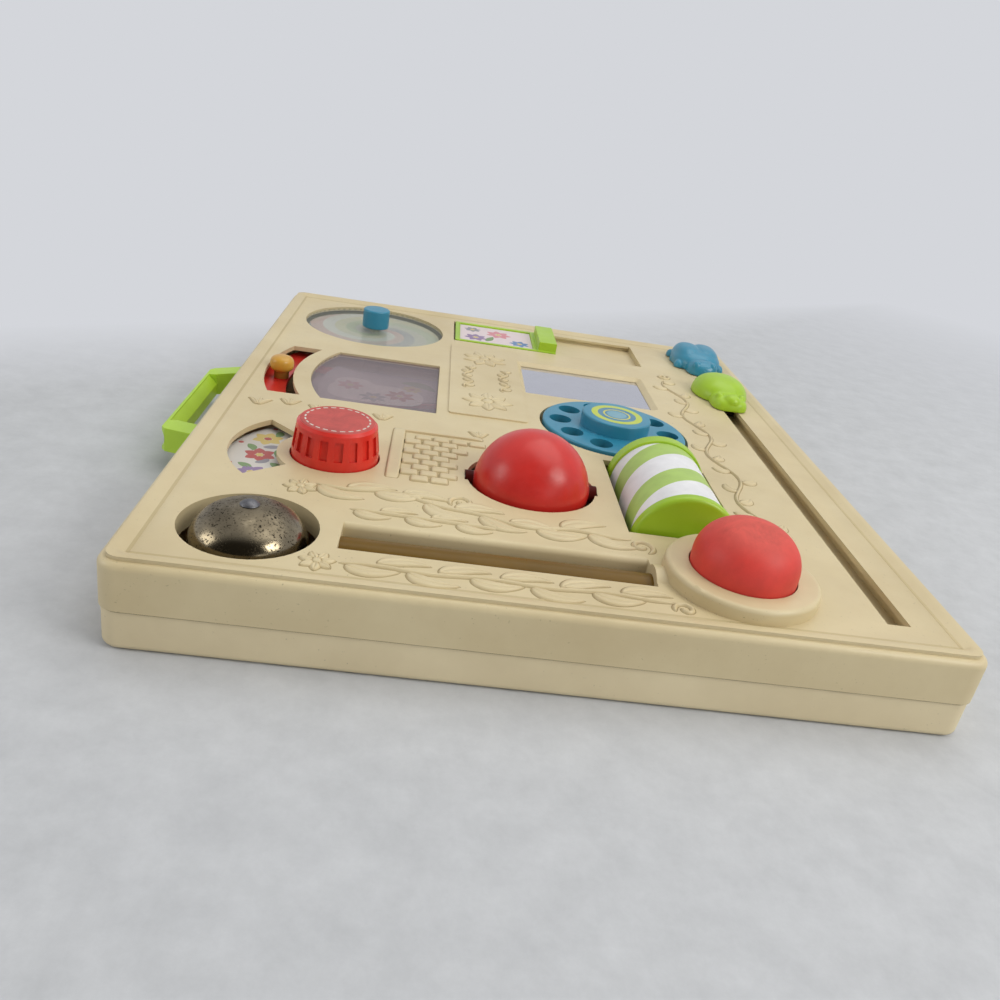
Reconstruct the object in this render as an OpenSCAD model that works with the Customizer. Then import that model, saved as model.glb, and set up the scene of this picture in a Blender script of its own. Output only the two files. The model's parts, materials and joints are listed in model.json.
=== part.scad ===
// Crib activity centre: a flat two-shell case with toys set into its front panel.
// It lies on its back: z = 0 is the back face, +Y runs from the near edge to the far edge.

/* [Case] */
// Width of the case along its near edge
case_w = 313; // [310:1:330]
// Length of the case from the near edge to the far edge
case_l = 392; // [390:1:420]
// Height from the back face to the top of the rim
case_h = 35.5; // [35:0.5:40]
// Height of the back cover, up to the seam
seam_h = 16; // [14.5:0.5:17]
// Wall thickness of both shells
wall = 2.5; // [2.2:0.1:2.8]
// Radius of the upright corners
corner_r = 8; // [7:0.5:10]
// Rounding of the outer edges of both shells
edge_r = 2.8; // [2:0.1:3.2]
// Width of the ledge outside the rim
ledge_w = 2.8; // [2:0.1:3.2]
// Width of the raised rim's top
rim_w = 3; // [2.2:0.1:3.6]
// Width of the slope on the rim's inner side
rim_slope = 2.7; // [1:0.1:3]
// Height of the rim above the panel
rim_h = 1.5; // [1:0.1:2]
// Step at the seam, from the front shell in to the back cover
cover_inset = 0.7; // [0:0.1:1]

/* [Fasteners] */
// Radius of the case screws' shanks
screw_r = 1.5; // [1.2:0.1:1.8]
// Radius of the case screws' heads
screw_head_r = 3.2; // [2.8:0.1:3.6]
// Length of a case screw's shank
screw_l = 18; // [14:1:19]
// Depth of the recess that holds a screw's head
screw_recess = 8; // [6:0.5:9]
// Radius of the holes for the crib bolts
crib_hole_r = 2.6; // [2:0.1:3.2]
// Depth of the holes for the crib bolts
crib_hole_depth = 9; // [7:0.5:11]
// Distance between the crib bolts across the case
crib_span_x = 278; // [270:1:280]
// Distance between the crib bolts along the case
crib_span_y = 362; // [350:1:366]

/* [Carrying handle] */
// How far the handle stands out from the case
handle_reach = 22; // [20:1:32]
// Length of the grip
grip_l = 94; // [84:1:100]
// Length of the handle where it meets the case
handle_root_l = 112; // [104:1:124]
// Height of the handle's section
handle_h = 12; // [11:0.5:14]
// Thickness of the grip
grip_t = 6; // [5:0.5:8]
// Width of a handle leg
leg_w = 12; // [10:0.5:14]
// How far the handle sinks from the case to the grip
handle_sag = 2; // [0:0.5:3]

/* [Bell and striker] */
// Bell centre, across the case
bell_x = -114; // [-116:0.5:-112]
// Bell centre, along the case; the striker tube lies on the same line
bell_y = -158; // [-159:0.5:-157]
// Radius of the bell
bell_r = 21.6; // [20:0.2:23]
// Height of the bell's dome above its straight skirt
bell_dome_h = 14; // [12:0.5:16]
// Height of the bell's skirt
bell_skirt_h = 10; // [9:0.5:11]
// How far the top of the bell stands above the panel
bell_rise = 8.4; // [6:0.2:10]
// Thickness of the bell's sheet
bell_t = 1.2; // [0.8:0.1:1.6]
// Radius of the round hole around the bell
bell_hole_r = 25.4; // [24.5:0.2:26.5]
// Outer radius of the striker tube
tube_r = 8; // [7.5:0.1:8.4]
// Wall thickness of the striker tube
tube_t = 1.2; // [0.8:0.1:1.5]
// Distance from the bell's hole to the window over the tube
tube_gap = 7.6; // [7:0.1:12]
// Width of the window over the tube
tube_window_w = 19.6; // [18.6:0.2:20.6]
// Depth of the tube's top below the panel
tube_depth = 1.3; // [1:0.1:2.5]
// Length of the striker's body
striker_l = 14; // [12:0.5:16]
// Radius of the striker's hammer rod
hammer_r = 2.5; // [2:0.1:3]

/* [Squeeze bulb] */
// Bulb centre, across the case
bulb_x = 71.5; // [71:0.5:73]
// Bulb centre, along the case
bulb_y = -157.2; // [-158:0.2:-157]
// Radius of the bulb
bulb_r = 20.5; // [19.5:0.1:21.5]
// Height of the bulb's top above the panel
bulb_rise = 26; // [22:0.5:30]
// Height of the bulb's rounded cap
bulb_cap_h = 17; // [14:0.5:18]
// Wall thickness of the bulb
bulb_t = 2.4; // [1.8:0.1:3]
// Radial gap between the bulb and the collar
bulb_gap = 0.5; // [0.3:0.1:0.8]
// Width of the raised collar around the bulb
collar_w = 9; // [8:0.2:9.6]
// Height of the collar above the panel
collar_h = 6; // [4:0.5:8]
// Distance that the bulb is pressed
bulb_travel = 9; // [6:0.5:10]

/* [Picture knob] */
// Knob centre, across the case
knob_x = -92.4; // [-94:0.2:-91]
// Knob centre, along the case
knob_y = -84.4; // [-86:0.2:-83]
// Radius of the knob at the panel
knob_r = 18.9; // [17.8:0.1:19.2]
// Radius of the knob at its top edge
knob_top_r = 17.4; // [16.4:0.1:18]
// Height of the knob above the panel
knob_rise = 16.5; // [14:0.5:19]
// Number of flutes round the knob
flute_n = 18; // [12:1:22]
// Radius of the hole around the knob
knob_hole_r = 19.7; // [19.5:0.1:20.4]
// Inner radius of the fan-shaped window
fan_in_r = 25; // [24.8:0.1:27]
// Outer radius of the fan-shaped window
fan_out_r = 45.5; // [42:0.5:46]
// Half the angle that the fan-shaped window spans
fan_half = 43; // [35:1:50]
// Radius of the picture disc
disc_r = 47; // [46.5:0.1:48]

/* [Lever and picture window] */
// Lever pivot, across the case
pivot_x = -28; // [-29:0.2:-27]
// Lever pivot, along the case
pivot_y = 26; // [25:0.2:27]
// Inner radius of the lever's slot
slot_in_r = 100; // [98:0.5:101]
// Outer radius of the lever's slot
slot_out_r = 115; // [113:0.5:116]
// Half the length of the lever's slot
slot_half_l = 40.7; // [38:0.5:42]
// Angle that the lever swings to each side
lever_swing = 18; // [14:1:19]
// Radius of the lever's knob
lever_knob_r = 6.4; // [6:0.2:7.4]
// Height of the lever's knob
lever_knob_h = 9; // [8:0.5:11]
// Radius of the picture window's round side
picture_r = 90.7; // [88:0.5:92]
// Distance from the pivot to the picture window's straight side
picture_near = 21.6; // [20:0.2:24]
// Half the height of the picture window
picture_half_l = 41; // [38:0.5:42]

/* [Spinner] */
// Spinner centre, across the case
spinner_x = -94.3; // [-96:0.2:-93]
// Spinner centre, along the case
spinner_y = 136.9; // [135:0.2:138]
// Radius of the spinner's window
spinner_r = 45; // [42:0.5:46]
// Radius of the spinner's knob
spin_knob_r = 8.6; // [7:0.2:10]
// Height of the spinner's knob
spin_knob_h = 12; // [9:0.5:15]
// Radius of the spinner's shaft
shaft_r = 3; // [2.5:0.1:3.5]

/* [Telephone dial] */
// Dial centre, across the case
dial_x = 46; // [45:0.2:47]
// Dial centre, along the case
dial_y = -2.5; // [-3:0.1:-2]
// Radius of the dial
dial_r = 38.8; // [37.5:0.1:39.4]
// Gap between the dial and its well
dial_gap = 1.6; // [1:0.1:1.8]
// Thickness of the dial's plate
dial_t = 4.5; // [3.5:0.1:5]
// How far the dial's plate stands above the panel
dial_rise = 1.5; // [1:0.1:2.5]
// Radius of the dial's hub
hub_r = 18.5; // [16:0.2:20]
// Height of the hub above the plate
hub_h = 7; // [5:0.5:9]
// Number of finger holes
finger_n = 10; // [8:1:10]
// Radius of a finger hole
finger_r = 6; // [5.2:0.1:6.4]
// Radius of the circle that the finger holes lie on
finger_pitch_r = 29.3; // [28.8:0.1:30]
// Depth of the dial's well below the panel
dial_well = 14; // [11:0.5:15]

/* [Ball and drum] */
// Ball centre, across the case
ball_x = -5; // [-6:0.1:-4.5]
// Ball centre, along the case
ball_y = -87.6; // [-88.4:0.2:-86.8]
// Radius of the ball
ball_r = 26; // [24:0.2:26.8]
// Depth of the ball's centre below the panel
ball_depth = 2; // [1.9:0.1:2.6]
// Radius of the hole around the ball
ball_hole_r = 29; // [28.4:0.1:29.4]
// Radius of the fixed axles in the ball and the drum
axle_r = 1.5; // [1.3:0.1:1.6]
// Drum centre, across the case
drum_x = 59; // [58:0.2:60]
// Drum centre, along the case
drum_y = -86.8; // [-87.4:0.1:-86.4]
// Radius of the drum's end caps
drum_r = 23.6; // [22:0.2:24.2]
// Length of the drum
drum_l = 72; // [66:0.5:73]
// Depth of the drum's axis below the panel
drum_depth = 6; // [5.5:0.1:6.6]
// Length of the drum's opening
drum_window_l = 76.4; // [75:0.2:77]
// Width of the drum's opening
drum_window_w = 51; // [49.5:0.5:53]
// Thickness of an end cap's rim
cap_t = 5; // [3.5:0.5:7]
// Thickness of the drum's far cap
far_cap_t = 8; // [4:0.5:9]

/* [Mirror and plate] */
// Mirror centre, across the case
mirror_x = 39.3; // [38:0.5:41]
// Mirror centre, along the case
mirror_y = 71; // [70.5:0.1:73]
// Width of the mirror that shows
mirror_w = 75.5; // [70:0.5:78]
// Length of the mirror that shows
mirror_l = 56; // [50:0.5:57]
// Width of the bevel round the mirror
mirror_bevel = 3; // [2:0.1:3.4]
// Width of the raised plate
plate_w = 42; // [38:0.5:43]
// Length of the raised plate
plate_l = 128; // [120:0.5:130]
// Height of the raised plate above the panel
plate_h = 0.8; // [0.5:0.1:1.2]

/* [Sliding door] */
// Left end of the door's recess
door_x = -42; // [-43:0.2:-41]
// Centre of the door, along the case
door_y = 154.5; // [153:0.2:155.5]
// Length of the door
door_l = 68; // [62:0.5:70]
// Width of the door's frame between the lips
door_w = 47; // [43:0.5:48]
// Distance that the door slides
door_travel = 58; // [50:1:60]
// Width of the door's finger tab
tab_w = 12; // [9:0.5:15]
// Height of the finger tab above the panel
tab_rise = 6.5; // [4:0.5:9]

/* [Track and sliders] */
// Middle of the track, across the case
track_x = 128.6; // [128:0.2:129.4]
// Near end of the track's slot
track_near = -175.5; // [-178:0.5:-172]
// Far end of the track's slot
track_far = 172; // [169:0.5:176]
// Width of the track's slot
track_w = 9.3; // [8.5:0.1:10]
// Place of the turtle along the track
turtle_y = 84; // [82:0.5:87]
// Place of the beetle along the track
beetle_y = 153; // [150:0.5:155]
// Width of the turtle
turtle_w = 34.5; // [28:0.5:36]
// Width of the beetle
beetle_w = 36; // [30:0.5:37]
// Height of the turtle and the beetle above the panel
figure_rise = 13.5; // [11:0.5:16]
// Length of the shoe under a slider
shoe_l = 26; // [22:0.5:28]

/* [Hidden] */
$fn = 64;

// Colours
shell_color = "#d3c3a0";
cover_color = "#d8c9aa";
green = "#98c828";
red = "#cc3a34";
blue = "#4388aa";
steel = "#b8b8bc";
dark = "#4a3a2c";
clear = [0.85, 0.88, 0.92, 0.45];

// Clearances and small sizes
eps = 0.01;             // overlap of cuts past a face
run_gap = 0.05;         // radial clearance of a turning fit
seat_gap = 0.02;        // radial clearance of a fixed fit
rub_gap = 0.3;          // gap between faces that pass each other
part_gap = 0.2;         // side clearance of a sliding neck
lap = 0.5;              // how far joined forms reach into each other
past = 1;               // how far a cut runs past a face
boss_wall = 2.2;        // wall round a screw or pin in a boss
sheet_t = 0.8;          // thickness of printed card
window_t = 1.5;         // thickness of a window's flange and of its plug
window_flange = 3;      // width of a window's flange behind the panel
window_drop = 1;        // depth of a window's face below the panel

// Levels
panel_top = case_h - rim_h;
panel_under = panel_top - wall;
floor_top = wall;

// Case screws, clear of everything inside
screw_at = [
    [-45, -180], [106, -182], [-141, -58], [-141, 82], [107, 22], [104, 166], [-22, -32]
];
screw_boss_r = screw_head_r + boss_wall;
screw_head_h = 2.2;
screw_head_gap = 0.3;
lip_t = 1.2;
lip_h = 2.5;
lip_gap = 0.15;
rim_corner = 1;
driver_w = 0.9;
driver_l = 3.6;
driver_depth = 1;

// Handle tongues go through the side wall at the seam
tongue_w = 8;
tongue_h = 8;
tongue_y = handle_root_l / 2 - leg_w / 2 - 1;
hook_t = 3;
hook_extra = 1.5;
hook_room = 6;
leg_taper = 2;
grip_groove_r = 5;
grip_groove_depth = 1.8;
handle_edge = 2;
grip_in_l = grip_l - 2 * (leg_w - leg_taper);
grip_ridge = 1.6;
grip_slope = 6;
grip_slope_end = 0.5;

// Bell and striker levels
bell_top = panel_top + bell_rise;
bell_spring = bell_top - bell_dome_h;
bell_rim = bell_spring - bell_skirt_h;
bell_curb_t = 2;
bell_curb_h = 6.4;
bell_post_r = 4.5;
rivet_r = 2;
rivet_head_r = 3.6;
rivet_head_h = 1.6;
rivet_l = 9;
rivet_room = 1;
post_drop = 0.4;
tube_z = panel_top - tube_depth - tube_r;
tube_bore_r = tube_r - tube_t;
tube_window_gap = 3.5;
tube_window_x1 = bulb_x - bulb_r - bulb_gap - collar_w - tube_window_gap;
tube_window_x0 = bell_x + bell_hole_r + tube_gap;
tube_window_l = tube_window_x1 - tube_window_x0;
tube_wall = 2;
tube_end_l = 5;
tube_near_x = tube_window_x0 - tube_wall - tube_end_l;
tube_floor_gap = 1;
tube_edge_r = 2.4;
saddle_t = 4;
end_cap_t = 2;
arch_t = 6.5;
arch_rise = 2.5;
arch_extra = 0.6;
arch_r = tube_window_w / 2 + arch_extra;
hammer_travel = 108;
hammer_gap = 0.3;
hammer_reach = 12;
hammer_hole_gap = 0.4;
striker_groove_w = 2;
striker_groove = 1;
hammer_tip_x = bell_x + bell_r + hammer_gap + hammer_travel;

// Squeeze bulb levels
collar_in_r = bulb_r + bulb_gap;
collar_out_r = collar_in_r + collar_w;
collar_edge = 2;
bulb_top = panel_top + bulb_rise;
bulb_flange = 3.7;
bulb_flange_h = 2.2;
seat_in_r = bulb_r + bulb_flange + rub_gap;
seat_wall = 2.5;
seat_out_r = seat_in_r + seat_wall;
seat_floor_t = 2;
seat_stop_w = 3;
tube_grip = 0.6;
tube_far_x = bulb_x - sqrt(seat_out_r * seat_out_r - tube_r * tube_r) + tube_grip;
reed_r = 6;
reed_h = 5;
reed_wall = 1.5;
reed_floor = 1;
reed_flange = 1.5;
reed_flange_h = 1.2;
reed_slot_w = 1.2;

// Picture knob levels
knob_top = panel_top + knob_rise;
knob_flange = 2.6;
knob_flange_r = knob_hole_r + knob_flange;
knob_flange_h = 2;
knob_skin = 2.4;
knob_band = 3.5;
knob_chamfer = 1.6;
stem_r = 6;
spindle_r = 3;
disc_t = 1.2;
disc_z = panel_under - rub_gap - knob_flange_h - disc_t;
stem_tail = 4;
stem_end = disc_z - stem_tail;
clip_t = 1.5;
clip_extra = 2.5;
flute_w = 3.5;
flute_depth = 1.2;
flute_margin = 0.7;
flute_top_margin = 2.2;
socket_part = 0.65;
spindle_boss_h = 8;

// Lever levels
lever_depth = 6;
lever_z = panel_under - lever_depth;
lever_t = 2;
lever_hub_r = 9;
lever_hub_rise = 1;
lever_plate_inset = 3.5;
lever_plate_in = slot_in_r + lever_plate_inset;
lever_plate_extra = 3;
lever_plate_out = slot_out_r + lever_plate_extra;
spoke_w = 8;
spoke_lap = 2;
spoke_a = 17;
lever_knob_at = (slot_in_r + slot_out_r) / 2;
lever_neck_r = 4;
slot_half_a = asin(slot_half_l / slot_in_r);
lever_spare_a = 1.5;
lever_half_a = slot_half_a + lever_swing + lever_spare_a;
knob_steps = 24;
knob_squareness = 2.8;
lever_knob_drop = 2.7;
lever_knob_z = panel_top - lever_knob_drop;
card_half_a = 21;
card_gap_in = 6;
card_in_r = lever_hub_r + card_gap_in;
card_gap_out = 4;
card_out_r = picture_r - card_gap_out;
backdrop_drop = 3;
backdrop_z = lever_z - backdrop_drop;
backdrop_post_r = 3;
backdrop_post_in = 6;
backdrop_post_far = 0.7 * picture_r;
backdrop_margin = 3;
pivot_r = 2.5;
pivot_boss_r = 6;
pivot_pin_below = 12;

// Spinner levels
spin_disc_gap = 2;
spin_disc_r = spinner_r - spin_disc_gap;
spin_disc_z = panel_under - window_t - rub_gap - disc_t;
spin_collar_t = 2;
spin_collar_w = 4;
spin_knob_edge = 1.2;
spin_knob_z = panel_top - window_drop + rub_gap;
spin_boss_h = 11;

// Dial levels
dial_top = panel_top + dial_rise;
dial_well_r = dial_r + dial_gap;
dial_floor = panel_top - dial_well;
dial_floor_t = 2;
dial_cup_t = 2;
dial_spindle_r = 4;
dial_hub_top = dial_top + hub_h;
dial_hub_edge = 1;
dial_skin = 2;
spindle_tail = 2;
finger_start = -3.6;
dial_rest_r = 9;
ratchet_r = 14;
ratchet_tooth = 2;
ratchet_t = 3;
tooth_back = 0.9;
spring_l = 26;
spring_w = 6;
spring_t = 0.8;
spring_foot = 8;

// Ball and drum levels
ball_z = panel_top - ball_depth;
ball_skin = 2.5;
ball_tube_t = 2.5;
ball_tube_r = axle_r + ball_tube_t;
ball_notch_w = 11;
ball_notch = 0.9;
ball_tube_l = 2 * (ball_hole_r + ball_notch - rub_gap);
ball_axle_extra = 14;
ball_axle_l = 2 * ball_hole_r + ball_axle_extra;
axle_rib_w = 9;
axle_rib_t = 4;
drum_z = panel_top - drum_depth;
drum_y0 = drum_y - drum_l / 2;
drum_y1 = drum_y + drum_l / 2;
drum_axle_extra = 6.4;
drum_axle_l = drum_window_l + drum_axle_extra;
sleeve_drop = 1.2;
sleeve_r = drum_r - sleeve_drop;
sleeve_t = 0.6;
barrel_t = 2;
cap_plug_l = 6;
cap_edge = 2;
cap_skin = 2.2;

// Mirror levels
mirror_t = 2;
mirror_margin = 2.4;
mirror_corner = 1;
mirror_land = 0.4;
backing_t = 1.5;
stake_r = 1.5;
stake_l = 4.2;
stake_ear = 7;
plate_corner = 2;
plate_x = -22.3;       // middle of the raised plate, across the case
plate_y = 52.3;        // middle of the raised plate, along the case

// Door levels
door_end_gap = 1;
door_recess_l = door_l + door_travel + 2 * door_end_gap;
door_depth = 4;
door_floor = panel_top - door_depth;
door_floor_t = 2;
door_lip_t = 1.5;
door_lip_w = 2;
door_lift = 0.8;
door_plate_z = door_floor + door_lift;
door_plate_t = panel_top - door_lip_t - rub_gap - door_plate_z;
door_frame_rise = 0.6;
door_frame_top = panel_top + door_frame_rise;
door_gap = 0.8;
door_well_t = 2;
label_depth = 1.2;
label_edge = 3;
label_fit = 0.3;
label_t = 0.3;
door_picture_t = 0.4;
tab_near = 1;
tab_far = 3;

// Track and slider levels
shoe_extra = 5;
shoe_w = track_w + shoe_extra;
shoe_t = 4;
shoe_z = panel_under - rub_gap - shoe_t;
guide_t = 2;
guide_gap = 0.3;
neck_w = track_w - 2 * part_gap;
neck_inset = 3;
neck_l = shoe_l - 2 * neck_inset;
figure_z = panel_top + rub_gap;
slider_screw_r = 1.4;
slider_head_r = 3;
slider_head_h = 1.6;
slider_screw_l = 9;
turtle_shell_y = 3;
turtle_shell_l = 44;
turtle_neck_y = -8;
turtle_neck_w = 26;
turtle_neck_h = 11;
turtle_brow_y = -15;
turtle_snout_y = -28;
turtle_snout_w = 15;
turtle_snout_h = 6;
turtle_nose = [3.2, 2.6, 2];
beetle_wing = [0.68 * beetle_w / 2, 21, figure_rise - 1];
beetle_wing_x = 0.3 * beetle_w / 2;
beetle_wing_y = 4;
beetle_head = [10, 10, 8];
beetle_head_y = -18;
beetle_foot = [3.6, 4.5, 4.5];
beetle_foot_x = 0.78 * beetle_w / 2;
beetle_foot_y = [-8, 5, 18];
figure_lift = 1;       // height of a figure's widest level

// Points of a quarter ellipse, from its side to its top
function quarter_ellipse(a, b, z, n = 20) = [
    for (i = [0:n]) [a * cos(90 * i / n), z + b * sin(90 * i / n)]
];

// Points of a wedge that spans the angles a0 to a1, past the radius r
function wedge(r, a0, a1) = [
    [0, 0], for (i = [0:4]) 1.6 * r * [cos(a0 + (a1 - a0) * i / 4), sin(a0 + (a1 - a0) * i / 4)]
];

// Flat rectangle with round corners
module rounded_rect(w, l, r) {
    square([w - 2 * r, l], center = true);
    square([w, l - 2 * r], center = true);
    for (sx = [-1, 1], sy = [-1, 1])
        translate([sx * (w / 2 - r), sy * (l / 2 - r)]) circle(r);
}

// A profile carried round a rounded rectangle; its x is the distance outside the outline
module swept_border(w, l, r) {
    for (side = [0:3]) {
        across = side % 2 == 0 ? w : l;
        along = side % 2 == 0 ? l : w;
        rotate(90 * side) {
            translate([across / 2, 0])
                rotate([90, 0, 0]) linear_extrude(along - 2 * r, center = true) children();
            translate([across / 2 - r, along / 2 - r])
                rotate_extrude(angle = 90) translate([r, 0]) children();
        }
    }
}

// Flat part of a ring between two angles
module ring_sector(r_in, r_out, a0, a1) {
    intersection() {
        difference() {
            circle(r_out, $fn = 128);
            circle(r_in, $fn = 128);
        }
        polygon(wedge(r_out, a0, a1));
    }
}

// Round bar along X
module bar_x(r, l) {
    rotate([0, 90, 0]) cylinder(r = r, h = l, center = true);
}

// Round bar along Y
module bar_y(r, l) {
    rotate([90, 0, 0]) cylinder(r = r, h = l, center = true);
}

// Box that is centred in x and y and stands on z
module block(w, l, z0, z1) {
    translate([-w / 2, -l / 2, z0]) cube([w, l, z1 - z0]);
}

// Section of a shell wall from z0 to z1, with its outer edge rounded at the top
module wall_section(z0, z1) {
    translate([-wall, z0]) square([wall, z1 - z0 - edge_r]);
    translate([-edge_r, z1 - edge_r]) circle(edge_r);
}

// Outline of the whole case
module case_outline(inset = 0) {
    rounded_rect(case_w - 2 * inset, case_l - 2 * inset, max(corner_r - inset, 0.8));
}

// Outline of the picture window: a round side about the lever's pivot, and a straight side
module picture_outline(extra = 0) {
    intersection() {
        circle(picture_r + extra, $fn = 128);
        translate([-picture_r - extra, -picture_half_l - extra])
            square([picture_r - picture_near + 2 * extra, 2 * (picture_half_l + extra)]);
    }
}

// Outline of the lever's slot
module lever_slot_outline() {
    intersection() {
        difference() {
            circle(slot_out_r, $fn = 128);
            circle(slot_in_r, $fn = 128);
        }
        translate([-slot_out_r - 1, -slot_half_l]) square([slot_out_r + 1, 2 * slot_half_l]);
    }
}

// Cut through the panel at a place, with a flat outline
module panel_cut(x, y) {
    translate([x, y, panel_under - eps]) linear_extrude(wall + rim_h + past) children();
}

// Space inside the rim, which widens upwards along the rim's inner slope
module rim_cut() {
    inset = ledge_w + rim_w + rim_slope;
    w = case_w - 2 * inset;
    l = case_l - 2 * inset;
    translate([0, 0, panel_top - past]) linear_extrude(rim_h + 2 * past) rounded_rect(w, l, rim_corner);
    swept_border(w, l, rim_corner)
        polygon([
            [-lap, panel_top], [0, panel_top],
            [rim_slope, case_h], [rim_slope, case_h + past], [-lap, case_h + past]
        ]);
}

// Walls and panel of the front shell, before anything is cut
module front_body() {
    swept_border(case_w, case_l, corner_r) wall_section(seam_h, panel_top);
    translate([0, 0, panel_under]) linear_extrude(wall) case_outline(edge_r);
    difference() {
        translate([0, 0, panel_top - lap]) linear_extrude(rim_h + lap) case_outline(ledge_w);
        rim_cut();
    }
    translate([plate_x, plate_y, panel_top - lap])
        linear_extrude(plate_h + lap) rounded_rect(plate_w, plate_l, plate_corner);
}

// Raised collar round the bulb
module bulb_collar() {
    translate([bulb_x, bulb_y, 0]) rotate_extrude() {
        translate([collar_in_r - past, panel_top - past])
            square([collar_w + past, collar_h + past - collar_edge]);
        translate([collar_in_r - past, panel_top]) square([collar_w + past - collar_edge, collar_h]);
        translate([collar_out_r - collar_edge, panel_top + collar_h - collar_edge]) circle(collar_edge);
    }
}

// Arch over the striker tube at the bulb's end of its window
module tube_arch() {
    translate([tube_window_x1 + arch_t / 2 - lap, bell_y, 0]) intersection() {
        translate([0, 0, panel_top + arch_rise - arch_r]) bar_x(arch_r, arch_t);
        block(arch_t, 2 * arch_r, panel_under, panel_top + arch_rise + past);
    }
}

// Curb under the panel, round the bell's hole
module bell_curb() {
    translate([bell_x, bell_y, panel_under - bell_curb_h])
        cylinder(r = bell_hole_r + bell_curb_t, h = bell_curb_h + lap);
}

// Space over the tube with a round far edge, and the tube's own hole through both ends
module tube_channel_cut() {
    l = tube_window_l - lap;
    translate([tube_window_x0 + l / 2, bell_y, 0]) {
        block(l, tube_window_w, tube_z - tube_r - tube_floor_gap, panel_top + past);
        translate([0, tube_window_w / 2, panel_top - tube_edge_r])
            rotate([90, 0, 90]) linear_extrude(l, center = true) difference() {
                translate([-lap, 0]) square([tube_edge_r + lap, tube_edge_r + past]);
                translate([tube_edge_r, 0]) circle(tube_edge_r);
            }
    }
    translate([(tube_near_x + tube_far_x) / 2, bell_y, tube_z])
        bar_x(tube_r + seat_gap, tube_far_x - tube_near_x + 2 * arch_t);
}

// Ribs under the panel that hold an axle's two ends from above
module axle_ribs(span, top) {
    for (s = [-1, 1])
        translate([s * (span / 2 - axle_rib_t / 2), 0, 0])
            block(axle_rib_t, axle_rib_w, top, panel_under + lap);
}

// Channel for an axle, open towards the back
module axle_channel(l) {
    bar_x(axle_r + seat_gap, l);
    block(l, 2 * (axle_r + seat_gap), -axle_r - past, 0);
}

// Screw boss that hangs from the panel
module screw_boss(at) {
    translate([at[0], at[1], seam_h])
        cylinder(r = screw_r + boss_wall, h = panel_under + lap - seam_h);
}

// Space that the sliding door runs in, wider under the lips that hold the door
module door_well_cut() {
    w = door_w + 2 * door_gap;
    translate([door_x, door_y - w / 2, door_floor]) cube([door_recess_l, w, door_depth + past]);
    translate([door_x, door_y - w / 2 - door_lip_w, door_floor])
        cube([door_recess_l, w + 2 * door_lip_w, panel_top - door_lip_t - door_floor]);
}

// Opening over the mirror, with its bevel
module mirror_cut() {
    translate([mirror_x, mirror_y, 0]) {
        translate([0, 0, panel_under - past])
            linear_extrude(wall + 2 * past) rounded_rect(mirror_w, mirror_l, mirror_corner);
        swept_border(mirror_w, mirror_l, mirror_corner)
            polygon([
                [-lap, panel_under + mirror_land], [0, panel_under + mirror_land],
                [mirror_bevel, panel_top], [mirror_bevel, panel_top + past], [-lap, panel_top + past]
            ]);
    }
}

// Places of the stakes that hold the mirror's backing
module at_stakes() {
    dx = mirror_w / 2 + mirror_margin + stake_ear / 2;
    for (sx = [-1, 1], sy = [-1, 1])
        translate([mirror_x + sx * dx, mirror_y + sy * mirror_l / 4, 0]) children();
}

// Wall openings for the handle's tongues, shared by both shells
module tongue_cut() {
    half_h = tongue_h / 2 + part_gap;
    for (s = [-1, 1])
        translate([-case_w / 2 + wall / 2, s * tongue_y, 0])
            block(wall + 2 * past, tongue_w + 2 * part_gap, seam_h - half_h, seam_h + half_h);
}

// Room for the handle's hooks in the seam's lip
module hook_cut() {
    extra = hook_extra + lap;
    for (s = [-1, 1])
        translate([-case_w / 2 + wall + hook_room / 2, s * tongue_y, 0])
            block(hook_room, tongue_w + 2 * extra, seam_h - tongue_h / 2 - extra, seam_h + tongue_h);
}

module front_shell() {
    color(shell_color) difference() {
        union() {
            front_body();
            bulb_collar();
            tube_arch();
            bell_curb();
            translate([ball_x, ball_y, 0]) axle_ribs(ball_axle_l, ball_z - axle_r);
            translate([drum_x, drum_y, 0]) rotate(90) axle_ribs(drum_axle_l, drum_z - axle_r);
            for (at = screw_at) screw_boss(at);
            at_stakes()
                translate([0, 0, panel_under - stake_l]) cylinder(r = stake_r, h = stake_l + lap);
        }
        translate([bell_x, bell_y, panel_under - bell_curb_h - past])
            cylinder(r = bell_hole_r, h = bell_curb_h + wall + 2 * past);
        tube_channel_cut();
        translate([bulb_x, bulb_y, panel_under - past])
            cylinder(r = collar_in_r, h = wall + collar_h + 2 * past);
        panel_cut(knob_x, knob_y) circle(knob_hole_r);
        panel_cut(knob_x, knob_y) ring_sector(fan_in_r, fan_out_r, 180 - fan_half, 180 + fan_half);
        panel_cut(pivot_x, pivot_y) lever_slot_outline();
        panel_cut(pivot_x, pivot_y) picture_outline();
        panel_cut(spinner_x, spinner_y) circle(spinner_r);
        panel_cut(dial_x, dial_y) circle(dial_well_r);
        panel_cut(ball_x, ball_y) {
            circle(ball_hole_r);
            square([2 * (ball_hole_r + ball_notch), ball_notch_w], center = true);
        }
        translate([ball_x, ball_y, ball_z]) axle_channel(ball_axle_l + 2 * eps);
        panel_cut(drum_x, drum_y) square([drum_window_w, drum_window_l], center = true);
        translate([drum_x, drum_y, drum_z]) rotate(90) axle_channel(drum_axle_l + 2 * eps);
        mirror_cut();
        door_well_cut();
        panel_cut(track_x, (track_near + track_far) / 2)
            square([track_w, track_far - track_near], center = true);
        for (at = screw_at)
            translate([at[0], at[1], seam_h - eps])
                cylinder(r = screw_r + seat_gap, h = screw_recess + screw_l - seam_h + past);
        tongue_cut();
    }
}

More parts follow.
